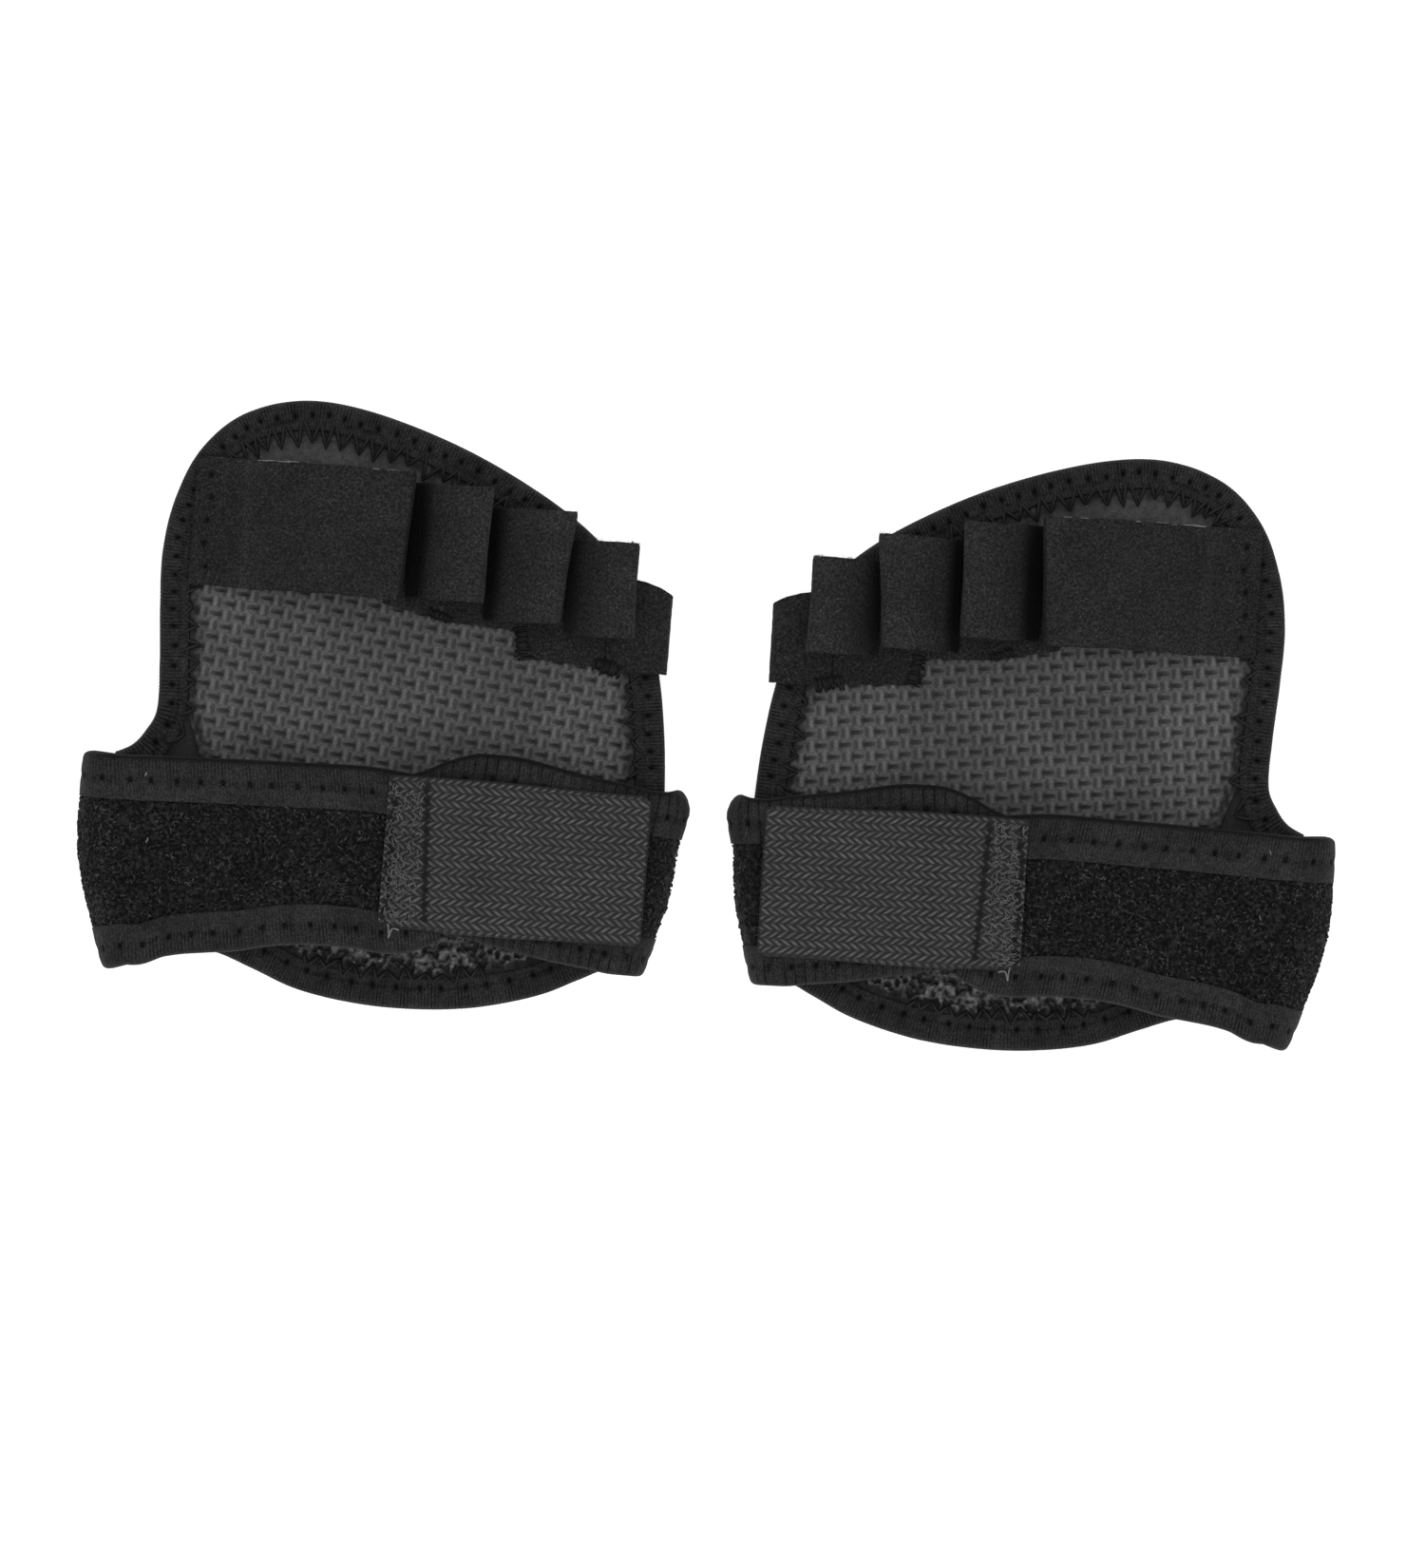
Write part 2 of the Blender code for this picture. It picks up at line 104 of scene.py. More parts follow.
# Side view of the strip's tail: x and z
STRIP_TAIL = [(36.45, 5.4), (40, 5.4), (46, 5.4), (47.6, 5), (48.4, 4), (48.5, 2.6), (48.3, 1.2)]
THUMB_HINGE = ((-59.5, -0.6), (-53.7, -42.4))
LITTLE_HINGE = ((49.7, 0.6), (43.8, -36.6))

# Finger loops: left foot, crest at the top, crest at the bottom, top y, bottom y
LOOPS = {
    "index_loop": (-41.0, -4.2, -5.6, 60.2, 34.4),
    "middle_loop": (-4.3, 11.4, 11.1, 58.3, 35.2),
    "ring_loop": (11.6, 28.4, 26.6, 54.6, 31.9),
    "little_loop": (28.0, 41.2, 41.6, 49.6, 30.4),
}
# How far the painted shadow of the loop before reaches over each loop's foot
LOOP_SHADOWS = {"index_loop": 0.0, "middle_loop": 2.0, "ring_loop": 1.1, "little_loop": 0.6}

# Closure tab
TAB = {"root": -4.2, "hinge": 4.0, "tip": 48.2, "top": -0.8, "bottom": -30.6, "corner": 2.5}
TAB_LEVEL = 17.65
TAB_ROOT_LEVEL = 20.85
WEBBING = 1.1
KNIT_WIDTH = 1.74
KNIT_ROW = 1.5

# Binding tape: how far in it reaches on the pad's front and back, and on the wrap's
PAD_TAPE = 6.0
HEEL_TAPE = 6.3
PAD_TAPE_BACK = 6.0
TOP_TAPE = 9.0
BOTTOM_TAPE = 8.2
WRAP_TAPE_BACK = 5.0
STITCH_PITCH = 4.85
RIB_PITCH = 0.7

RANDOM = np.random.default_rng(7)


# ---------------- shapes


def smooth_line(knots, steps=12):
    """Points of a Catmull-Rom line through the knots; b, s, e, a are the knots before, at the
    start, at the end and after."""
    ends = np.array([knots[0], *knots, knots[-1]], float)
    t = (np.arange(steps) / steps)[:, None]
    line = []
    for b, s, e, a in zip(ends, ends[1:], ends[2:], ends[3:]):
        curve = 2 * b - 5 * s + 4 * e - a + t * (3 * (s - e) + a - b)
        line.append(s + 0.5 * t * (e - b + t * curve))
    return np.vstack([*line, ends[-1:]])


def even_line(knots, spacing):
    """The smooth line at an even spacing, and each point's distance along it."""
    line = smooth_line(knots)
    along = np.concatenate([[0], np.cumsum(np.linalg.norm(np.diff(line, axis=0), axis=1))])
    at = np.linspace(0, along[-1], int(along[-1] / spacing) + 2)
    return np.column_stack([np.interp(at, along, line[:, i]) for i in range(line.shape[1])]), at


def inwards(line):
    """Unit directions to the right of the way a line runs."""
    along = np.gradient(line[:, :2], axis=0)
    along /= np.linalg.norm(along, axis=1)[:, None]
    return np.column_stack([along[:, 1], -along[:, 0]])


def height(knots):
    """The y of a smooth edge as a function of x."""
    line = smooth_line(knots)
    return lambda x: np.interp(x, line[:, 0], line[:, 1])


def ease(t):
    t = np.clip(t, 0, 1)
    return t * t * (3 - 2 * t)


def blend(a, b, t):
    return a + (b - a) * t


def noise(x, y, seed=0.0):
    """Smooth noise from 0 to 1, with features about one unit across."""
    xi, yi = np.floor(x), np.floor(y)
    fx, fy = ease(x - xi), ease(y - yi)

    def corner(i, j):
        value = np.sin((xi + i) * 127.1 + (yi + j) * 311.7 + seed * 74.7) * 43758.5453
        return value - np.floor(value)

    return blend(blend(corner(0, 0), corner(1, 0), fx), blend(corner(0, 1), corner(1, 1), fx), fy)


def rough(x, y, size, seed=0.0):
    """Two octaves of noise, from -1 to 1, with features of this size."""
    fine = noise(2.1 * x / size, 2.1 * y / size, seed + 5)
    return 1.3 * noise(x / size, y / size, seed) + 0.7 * fine - 1


def grid(x, y, z):
    """Points from their coordinates, which are spread to one shape."""
    return np.stack(np.broadcast_arrays(x, y, z), -1)


def dimples(s, d, dots, across=0.8, along=0.58):
    """How deep each point lies in the dimples of a row of stitches, from 0 to 1."""
    field = np.zeros(np.broadcast(s, d).shape)
    for dot_s, dot_d in dots:
        field += np.exp(-(((s - dot_s) / along) ** 2 + ((d - dot_d) / across) ** 2))
    return np.minimum(field, 1)


class Solid:
    """Collects closed surfaces in a grip's own frame, with a shade value for each point."""

    def __init__(self):
        self.points, self.quads, self.lids, self.shade = [], [], [], []
        self.count = 0

    def add(self, points, quads, shade=0.0, lid=None):
        """Adds one closed surface, turned so that its faces point out. A lid is one flat face."""
        points = np.asarray(points, float).reshape(-1, 3)
        quads = np.asarray(quads, int).reshape(-1, 4)
        middle = points.mean(0)
        a, b, c, d = (points[quads[:, i]] - middle for i in range(4))
        volume = np.sum(a * np.cross(b, c)) + np.sum(a * np.cross(c, d))
        if volume < 0:
            quads = quads[:, ::-1]
        if lid is not None:
            self.lids.append((lid[::-1] if volume < 0 else lid) + self.count)
        self.points.append(points)
        self.quads.append(quads + self.count)
        self.shade.append(np.broadcast_to(np.asarray(shade, float), (len(points),)))
        self.count += len(points)
        return self

    def slab(self, top, bottom, shade=0.0):
        """A closed solid between two grids of points."""
        rows, columns = top.shape[:2]
        lower = rows * columns
        index = np.arange(lower).reshape(rows, columns)
        under = index + lower
        face = np.stack([index[:-1, :-1], index[1:, :-1], index[1:, 1:], index[:-1, 1:]], -1)
        back = np.stack([under[:-1, :-1], under[:-1, 1:], under[1:, 1:], under[1:, :-1]], -1)
        rim = np.concatenate([index[0, :-1], index[:-1, -1], index[-1, :0:-1], index[:0:-1, 0]])
        step = np.roll(rim, -1)
        wall = np.stack([rim, step, step + lower, rim + lower], -1)
        quads = np.concatenate([face.reshape(-1, 4), back.reshape(-1, 4), wall])
        flat_shade = np.broadcast_to(np.asarray(shade, float), (rows, columns)).ravel()
        points = np.concatenate([top.reshape(-1, 3), bottom.reshape(-1, 3)])
        return self.add(points, quads, np.concatenate([flat_shade, flat_shade]))

    def cells(self, flat, quads, relief, level, shade=0.0):
        """A closed solid over cells of a flat outline: relief on one side, and one flat face at a
        level on the other."""
        count = len(flat)
        edges = np.concatenate([quads[:, [i, (i + 1) % 4]] for i in range(4)])
        known = set(map(tuple, edges.tolist()))
        after = {a: b for a, b in edges.tolist() if (b, a) not in known}
        rim = [min(after)]
        while after[rim[-1]] != rim[0]:
            rim.append(after[rim[-1]])
        rim = np.array(rim)
        under = count + np.arange(len(rim))
        wall = np.stack([np.roll(rim, -1), rim, under, np.roll(under, -1)], -1)
        relief = np.column_stack([flat, np.broadcast_to(relief, count)])
        plain = np.column_stack([flat[rim], np.full(len(rim), level)])
        shade = np.concatenate([np.broadcast_to(shade, count), np.zeros(len(rim))])
        faces = np.concatenate([quads, wall])
        return self.add(np.concatenate([relief, plain]), faces, shade, lid=under[::-1])

    def tube(self, path, radius, sides=6, shade=0.0):
        """A round thread along a path, closed at both ends, with an even number of sides."""
        path = np.asarray(path, float)
        along = np.gradient(path, axis=0)
        along /= np.linalg.norm(along, axis=1)[:, None] + 1e-12
        side = np.cross(along, (0, 0, 1))
        weak = np.linalg.norm(side, axis=1) < 1e-3
        side[weak] = (1, 0, 0)
        side /= np.linalg.norm(side, axis=1)[:, None]
        up = np.cross(side, along)
        angle = (np.arange(sides) * 2 * math.pi / sides)[None, :, None]
        ring = np.cos(angle) * side[:, None] + np.sin(angle) * up[:, None]
        points = (path[:, None] + radius * ring).reshape(-1, 3)
        index = np.arange(len(path) * sides).reshape(len(path), sides)
        turn = np.roll(index, -1, axis=1)
        quads = np.stack([index[:-1], turn[:-1], turn[1:], index[1:]], -1).reshape(-1, 4)
        caps = []
        for i in range(1, sides - 2, 2):
            corners = [0, i, i + 1, i + 2]
            caps += [index[0, corners[::-1]], index[-1, corners]]
        return self.add(points, np.concatenate([quads, caps]), shade)


def inside(points, outline):
    """Which points lie inside a closed outline."""
    x, y = points[:, 0], points[:, 1]
    found = np.zeros(len(points), bool)
    for (x0, y0), (x1, y1) in zip(outline, np.roll(outline, -1, axis=0)):
        if y0 == y1:
            continue
        crosses = (y0 > y) != (y1 > y)
        found ^= crosses & (x < x0 + (y - y0) * (x1 - x0) / (y1 - y0))
    return found


def nearest(points, outline):
    """Each point's nearest place on a closed outline, and its distance from it."""
    best = np.full(len(points), 1e9)
    place = points.copy()
    for a, b in zip(outline, np.roll(outline, -1, axis=0)):
        run = b - a
        t = np.clip((points - a) @ run / max(run @ run, 1e-9), 0, 1)
        on = a + t[:, None] * run
        gap = np.linalg.norm(points - on, axis=1)
        closer = gap < best
        best[closer] = gap[closer]
        place[closer] = on[closer]
    return place, best


def cut_cells(outline, step):
    """Square cells that fill an outline, with their outer points moved onto it."""
    outline = np.asarray(outline, float)
    low, high = outline.min(0) - step, outline.max(0) + step
    xs = np.arange(low[0], high[0], step)
    ys = np.arange(low[1], high[1], step)
    grid = np.stack(np.meshgrid(xs, ys, indexing="ij"), -1)
    index = np.arange(grid.shape[0] * grid.shape[1]).reshape(grid.shape[:2])
    middles = grid[:-1, :-1] + step / 2
    keep = inside(middles.reshape(-1, 2), outline).reshape(middles.shape[:2])
    keep[1:-1, 1:-1] &= keep[2:, 1:-1] | keep[:-2, 1:-1]
    keep[1:-1, 1:-1] &= keep[1:-1, 2:] | keep[1:-1, :-2]
    quads = np.stack([index[:-1, :-1], index[1:, :-1], index[1:, 1:], index[:-1, 1:]], -1)[keep]
    used, quads, shared = np.unique(quads, return_inverse=True, return_counts=True)
    points = grid.reshape(-1, 2)[used]
    place, gap = nearest(points, outline)
    rim = shared < 4
    points[rim] = place[rim]
    return points, quads.reshape(-1, 4), np.where(rim, 0, gap)


# ---------------- materials


def grey(value):
    return (value, value, value, 1)


def set_inputs(node, values):
    for name, value in values.items():
        node.inputs[name].default_value = value


class Shader:
    """A Principled material that is built up with procedural texture."""

    def __init__(self, name, colour, roughness, specular=0.2, sheen=0.0):
        self.material = bpy.data.materials.new(name)
        self.material.use_nodes = True
        self.nodes = self.material.node_tree.nodes
        self.links = self.material.node_tree.links
        self.shader = self.nodes["Principled BSDF"]
        gloss = {"Roughness": roughness, "Specular IOR Level": specular}
        set_inputs(self.shader, {**gloss, "Sheen Weight": sheen, "Sheen Roughness": 0.5})
        self.place = self.nodes.new("ShaderNodeTexCoord").outputs["Object"]
        self.colour = colour

    def noise(self, scale, detail=2.0, stretch=None):
        texture = self.nodes.new("ShaderNodeTexNoise")
        set_inputs(texture, {"Scale": scale, "Detail": detail})
        place = self.place
        if stretch:
            mapping = self.nodes.new("ShaderNodeMapping")
            mapping.inputs["Scale"].default_value = stretch
            self.links.new(place, mapping.inputs["Vector"])
            place = mapping.outputs["Vector"]
        self.links.new(place, texture.inputs["Vector"])
        return texture.outputs["Fac"]

    def ramp(self, source, low, high, start=0.3, end=0.7):
        spread = self.nodes.new("ShaderNodeMapRange")
        limits = {"From Min": start, "From Max": end, "To Min": low, "To Max": high}
        set_inputs(spread, limits)
        self.links.new(source, spread.inputs["Value"])
        return spread.outputs["Result"]

    def times(self, a, b):
        product = self.nodes.new("ShaderNodeMath")
        product.operation = "MULTIPLY"
        self.links.new(a, product.inputs[0])
        self.links.new(b, product.inputs[1])
        return product.outputs["Value"]

    def paint(self, *factors, wear_and_shade=0.75):
        """Sets the colour: the base grey times the factors, darkened by each point's shade value.
        That value holds painted shade in stitch holes, slots, rib grooves, folds and along edges,
        painted shadows and some random tone, and painted highlights where it is below zero.
        """
        pit_and_shade = self.nodes.new("ShaderNodeAttribute")
        pit_and_shade.attribute_name = "shade"
        value = self.ramp(pit_and_shade.outputs["Fac"], self.colour, self.colour * (1 - wear_and_shade), 0, 1)
        # Unclamped, so that a shade value below zero paints a highlight.
        value.node.clamp = False
        for factor in factors:
            value = self.times(value, factor)
        combine = self.nodes.new("ShaderNodeCombineColor")
        for channel in ("Red", "Green", "Blue"):
            self.links.new(value, combine.inputs[channel])
        self.links.new(combine.outputs["Color"], self.shader.inputs["Base Color"])
        return self

    def roughen(self, source, low, high):
        self.links.new(self.ramp(source, low, high), self.shader.inputs["Roughness"])
        return self

    def bump(self, source, distance, strength):
        """Adds bump; distance is in metres."""
        bump = self.nodes.new("ShaderNodeBump")
        set_inputs(bump, {"Strength": strength, "Distance": distance})
        self.links.new(source, bump.inputs["Height"])
        self.links.new(bump.outputs["Normal"], self.shader.inputs["Normal"])
        return self


def embossed_rubber():
    made = Shader("embossed_rubber_look", 0.098, 0.62, specular=0.3)
    mottle = made.ramp(made.noise(90), 0.82, 1.16)
    grain = made.noise(3200, 3)
    made.paint(mottle, made.ramp(grain, 0.75, 1.25, 0.4, 0.6), wear_and_shade=0.9)
    return made.roughen(made.noise(700), 0.55, 0.75).bump(grain, 0.0001, 0.7).material


def binding_look():
    made = Shader("ribbed_binding_look", 0.0185, 0.85, specular=0.1, sheen=0.03)
    fibres = made.noise(2600, 3)
    fleck = made.ramp(made.noise(5200, 2), 1.0, 1.8, 0.56, 0.72)
    mottle = made.ramp(made.noise(160), 0.8, 1.2)
    made.paint(mottle, made.ramp(fibres, 0.6, 1.4, 0.4, 0.6), fleck, wear_and_shade=0.93)
    return made.bump(fibres, 0.0002, 0.8).material


def pile_look():
    made = Shader("loop_pile_look", 0.0118, 0.95, specular=0.12, sheen=0.06)
    tuft = made.noise(1400, 4)
    mottle = made.ramp(made.noise(120), 0.75, 1.25)
    made.paint(mottle, made.ramp(tuft, 0.1, 1.9, 0.42, 0.6))
    return made.bump(tuft, 0.0006, 0.9).material


def elastic_look():
    made = Shader("brushed_elastic_look", 0.0165, 0.95, specular=0.06, sheen=0.03)
    felt = made.noise(2000, 3)
    fleck = made.ramp(made.noise(2600, 2), 0.92, 2.1, 0.56, 0.7)
    mottle = made.ramp(made.noise(140), 0.88, 1.12)
    made.paint(mottle, made.ramp(felt, 0.6, 1.4, 0.4, 0.6), fleck, wear_and_shade=0.97)
    return made.bump(felt, 0.0003, 0.9).material


def webbing_look():
    made = Shader("woven_elastic_look", 0.087, 0.7, specular=0.3, sheen=0.05)
    fibres = made.noise(4500, 3)
    mottle = made.ramp(made.noise(110), 0.85, 1.15)
    made.paint(mottle, made.ramp(fibres, 0.6, 1.45, 0.4, 0.6), wear_and_shade=0.95)
    return made.bump(fibres, 0.00012, 0.8).material


def neoprene_look():
    made = Shader("jersey_neoprene_look", 0.022, 0.9, specular=0.12, sheen=0.05)
    knit = made.noise(1500, 2, stretch=(1, 2.6, 1))
    made.paint(made.ramp(made.noise(90), 0.85, 1.15), made.ramp(knit, 0.7, 1.3))
    return made.bump(knit, 0.0001, 0.8).material


def hook_look():
    made = Shader("moulded_hook_look", 0.03, 0.42, specular=0.4)
    made.paint(made.ramp(made.noise(300), 0.8, 1.2))
    return made.bump(made.noise(2500), 0.00005, 0.5).material


def thread_look():
    made = Shader("thread_look", 0.0045, 0.55, specular=0.22)
    twist = made.noise(5200, 2)
    made.paint(made.ramp(twist, 0.4, 2.4))
    return made.bump(twist, 0.0001, 0.7).material


def lint_look():
    made = Shader("pale_fibre_look", 0.16, 0.8, specular=0.2)
    return made.paint(made.ramp(made.noise(900), 0.5, 1.5)).material


# ---------------- the grip


class Grip:
    """One grip's own frame, found from its tab hinge, and the pieces that are put in it."""

    def __init__(self, side, looks):
        self.side = side
        self.looks = looks
        hinge = next(j for j in frame["joints"] if j["name"] == f"{side}_tab_peel")
        turn = 1 if side == "left" else -1
        y_way = np.array(hinge["axis"][:2]) * turn
        x_way = np.array([y_way[1], -y_way[0]]) * -turn
        middle = (TAB["top"] + TAB["bottom"]) / 2
        origin = np.array(hinge["pos_m"][:2]) - 0.001 * (TAB["hinge"] * x_way + middle * y_way)
        self.turn = np.array([[*x_way, 0], [*y_way, 0], [0, 0, 1]]) * 0.001
        self.origin = np.array([*origin, 0])

    def world(self, points):
        return np.asarray(points, float) @ self.turn + self.origin

    def make(self, name, solid, slot, replaces=(), look=None):
        """Turns a solid into an object in the row frame, with its slot's look or another."""
        mesh = bpy.data.meshes.new(f"{self.side}_{name}")
        points = self.world(np.concatenate(solid.points))
        turn = -1 if self.side == "left" else 1
        quads = np.concatenate(solid.quads)[:, ::turn]
        corners = np.concatenate([quads.ravel(), *[lid[::turn] for lid in solid.lids]])
        sizes = np.array([4] * len(quads) + [len(lid) for lid in solid.lids])
        starts = np.concatenate([[0], np.cumsum(sizes)[:-1]])
        mesh.vertices.add(len(points))
        mesh.vertices.foreach_set("co", points.astype(np.float32).ravel())
        mesh.loops.add(len(corners))
        mesh.loops.foreach_set("vertex_index", corners.astype(np.int32))
        mesh.polygons.add(len(sizes))
        mesh.polygons.foreach_set("loop_start", starts.astype(np.int32))
        mesh.update(calc_edges=True)
        shade = mesh.attributes.new("shade", "FLOAT", "POINT")
        shade.data.foreach_set("value", np.concatenate(solid.shade).astype(np.float32))
        mesh.shade_smooth()
        made = bpy.data.objects.new(f"{self.side}_{name}", mesh)
        made.data.materials.append(self.looks[look or slot])
        bpy.context.scene.collection.objects.link(made)
        if replaces:
            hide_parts(*[f"{self.side}_{node}" for node in replaces])
        return made

    def sheet(self, made, width, length, held, rests_on, outline=None, with_pieces=()):
        """Takes cloth by its flat cut in millimetres, and its outline if not a rectangle, but
        declares nothing: the cut and the outline are not used.
        """
        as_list(with_pieces)

    def ride(self, made, body):
        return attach(made, f"{self.side}_{body}")

    def bend(self, made, a, b, start, end):
        start, end = self.world([start, end])
        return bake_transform(made, f"{self.side}_{a}", f"{self.side}_{b}", tuple(start), tuple(end))


# ---------------- palm pad


CELL = 2.385
WEAVE_TURN = math.radians(-5.5)
HEEL_START = -27
FINGER_STRIP = 56


def bar(a, b, half_a, half_b):
    """Height of a raised bar with a round back, at a and b from its middle."""
    return np.sqrt(np.clip(1 - np.abs(a / half_a) ** 3 - np.abs(b / half_b) ** 3, 0, 1))


def weave(x, y):
    """Height of an embossed basket weave, from 0 in its slots to 1 on its upright bars. The level
    bars run on between rows of slots, an upright bar that dips in its middle bridges each gap
    between two slots, and a slot is deepest where it ends beside an upright bar."""
    c, s = math.cos(WEAVE_TURN), math.sin(WEAVE_TURN)
    u, w = (c * x + s * y) / CELL, (c * y - s * x) / CELL
    slot, groove, upright = 0.0, 0.0, 0.0
    for row in (np.floor(w) - 1, np.floor(w), np.floor(w) + 1):
        along = (u + row % 2) % 2 - 1
        across = (w - row - 0.5) * CELL
        beside = (1 - np.abs(along)) * CELL
        before = (1 - along) * CELL
        deep = 1.0 - 0.35 * ease((before - 1) / 2)
        slot = np.maximum(slot, bar(before - 1.85, across + 0.12, 1.35, 0.46) * deep)
        groove = np.maximum(groove, bar(beside - 0.9, across + 0.2, 0.36, 1.2))
        saddle = 0.84 + 0.16 * np.minimum(np.abs(across / 1.1), 1) ** 2
        upright = np.maximum(upright, bar(beside, across, 0.58, 1.5) * saddle)
    return np.maximum(0.58 * (1 - slot) * (1 - 0.55 * groove), upright)


def pad_edges(margin, spacing, upper_start, heel_start, heel_end):
    """The pad's two free edges moved in by a margin, without the given lengths at their ends."""
    upper, along = even_line(PAD_EDGE, spacing)
    upper = (upper + margin * inwards(upper))[along > upper_start]
    heel, along = even_line(HEEL_EDGE[::-1], spacing)
    kept = (along > heel_start) & (along < along[-1] - heel_end)
    return upper[:-1], (heel + margin * inwards(heel))[kept]


def face_outline():
    """The pad's inner area, across the wrist and down to the heel."""
    edges = pad_edges(PAD_TAPE + 0.05, spacing=1.5, upper_start=13, heel_start=8, heel_end=20)
    return np.concatenate(edges)


def lay_rubber(grip, name, node, solid, outline):
    """Puts a rubber sheet on the core."""
    made = grip.make(name, solid, "embossed_rubber", [node])
    grip.ride(made, "pad")
    grip.sheet(made, *np.ptp(outline, axis=0), "laid", ["palm_core"], outline)


def build_face(grip):
    """The inner side's rubber sheet, crumpled at the heel and almost plain at the fingers, with
    painted shade in its low parts and painted highlights on its raised bars.
    """
    outline = face_outline()
    points, quads, gap = cut_cells(outline, 0.21)
    x, y = points.T
    heel = ease((HEEL_START - y) / 6)
    finger_side = ease((y - FINGER_STRIP) / 4)
    edge = ease(gap / np.where(y > 50, 6.5, 3.2))
    # Random wear of the weave's height, which also changes its painted shade.
    wear_and_shade = 0.85 + 0.15 * rough(x, y, 18)
    shift = 0.12 * rough(x, y, 6) + 0.7 * heel * rough(x, y, 2.6, 7)
    relief = weave(x + shift, y + 0.12 * rough(x, y, 6, 2) + shift * heel) * wear_and_shade
    crumple = rough(x, y, 0.9, 9)
    relief = relief + 0.65 * heel * crumple
    relief = blend(relief, 0.3 + 0.2 * rough(x, y, 1.2, 3), 0.85 * finger_side)
    relief = np.clip(blend(0.35, relief, edge), 0, 1)
    top = PAD_TOP - 0.85 + 0.83 * relief + 0.04 * rough(x, y, 14) * edge
    seam = np.exp(-((gap / 2.3) ** 2)) * (0.55 + 0.55 * rough(x, y, 1.0))
    # Painted shade: darker in the weave's slots and low parts, lighter on its upright bars. The face
    # is also darker, with noise, in a band along the binding's edge.
    shade = 1.5 * (1 - relief) ** 0.9 - 0.46 + np.maximum(seam, 0)
    # Painted shade in the hollows of the crumpled heel, and painted highlights on its crests.
    shade = shade + heel * (0.32 - 1.3 * np.maximum(crumple - 0.3, 0))
    solid = Solid().cells(points, quads, top, PAD_TOP - PAD_SKIN, shade)
    lay_rubber(grip, "embossed_face", "palm_face", solid, outline)


def build_patch(grip):
    """The same rubber sheet on the bar side."""
    outline = face_outline()
    points, quads, gap = cut_cells(outline, 0.55)
    x, y = points.T
    relief = weave(x, y) * ease(gap / 1.6)
    # Painted shade in the weave's slots.
    solid = Solid().cells(points, quads, 0.45 * (1 - relief), PAD_SKIN, 1.0 - relief)
    lay_rubber(grip, "bar_side_patch", "grip_patch", solid, outline)


def foam_outline():
    """The core's outline: its two free edges, joined along the folds of the wrap."""
    upper, heel = pad_edges(margin=1.2, spacing=2, upper_start=1.5, heel_start=1, heel_end=1.5)
    sides = []
    for hinge, shares in ((LITTLE_HINGE, (0.04, 0.5, 0.93)), (THUMB_HINGE, (0.93, 0.5, 0.04))):
        start, end = np.array(hinge)
        sides.append([blend(start, end, share) for share in shares])
    return np.concatenate([upper, sides[0], heel, sides[1]])


def build_foam(grip):
    """The pad's neoprene core."""
    points, quads, _ = cut_cells(foam_outline(), 1.0)
    x, y = points.T
    ripple = 0.05 * rough(x, y, 5)
    top = CORE_MID + CORE_HALF + ripple - 0.1
    solid = Solid().cells(points, quads, top, CORE_MID - CORE_HALF)
    made = grip.make("foam_core", solid, "neoprene", ["palm_core"])
    grip.ride(made, "pad")


def ribs(along):
    """The fine cross ribs of knitted binding tape."""
    return np.abs(np.sin(math.pi * along / RIB_PITCH)) ** 0.7


def tape_section(half, tape, front, back, nose=1.7):
    """The outer and inner sides of tape folded round an edge, as distance in and height."""
    turn = np.linspace(0, math.pi, 15)
    reach = np.linspace(front, nose, int((front - nose) / 0.42) + 2)[:-1]
    retreat = np.linspace(nose, back, 4)[1:]
    level = np.concatenate([np.ones(len(reach)), np.cos(turn), -np.ones(len(retreat))])
    outer_d = np.concatenate([reach, nose - nose * np.sin(turn) ** 0.8, retreat])
    inner_d = np.concatenate([reach, nose + 0.1 - (nose - tape) * np.sin(turn) ** 0.8, retreat])
    return outer_d, half * level, inner_d, (half - tape) * level


def tape_width(half, front, back):
    """The flat width of tape that is folded round an edge."""
    outer_d, outer_z, _, _ = tape_section(half, TAPE, front, back)
    return float(np.sum(np.hypot(np.diff(outer_d), np.diff(outer_z))))


def sweep_tape(line, along, front, dots):
    """Binding tape swept round the edge of the pad."""
    half = PAD_TOP / 2
    outer_d, outer_z, inner_d, inner_z = tape_section(half, PAD_SKIN, front, PAD_TAPE_BACK)
    way = inwards(line)
    s = along[:, None]
    upper = outer_z > 0.6 * half
    leg = np.clip((outer_d - 1.5) / (front - 1.5), 0, 1)
    pit_and_shade = dimples(s, np.where(upper, outer_d, -9)[None], dots)
    swell = 0.26 * (ribs(s) - 0.5) + 0.12 * rough(s, outer_d[None], 3.5)
    bow = np.where(upper, np.sin(math.pi * leg) * 0.12, 0)
    out_z = outer_z[None] * (1 + swell / half * 0.5) - 0.5 * pit_and_shade + bow[None]
    out_z = np.maximum(out_z, -half)
    out_d = outer_d[None] - swell * np.where(np.abs(outer_z) < half * 0.95, 0.6, 0)[None] * 0.8
    out_d = np.maximum(out_d + np.where(leg > 0.98, 0.25 * rough(s, 0, 2.2), 0), 0.02)

    def place(d, z):
        x = line[:, :1] + d * way[:, :1]
        return grid(x, line[:, 1:] + d * way[:, 1:], half + z)

    # Painted shade: darker between the ribs, most near the edge, and in each stitch dimple. Random
    # noise and a dark line 4.2 mm in darken the tape too.
    near_edge = blend(1.0, 0.45, np.clip((outer_d - 2.0) / 2.5, 0, 1))[None]
    groove = 1.7 * (0.74 - ribs(s)) * near_edge + 0.5 * rough(s, out_d, 1.0)
    groove = groove + 0.5 * np.exp(-(((out_d - 4.2) / 0.35) ** 2))
    return place(out_d, out_z), place(inner_d, inner_z), np.maximum(1.3 * pit_and_shade, groove)


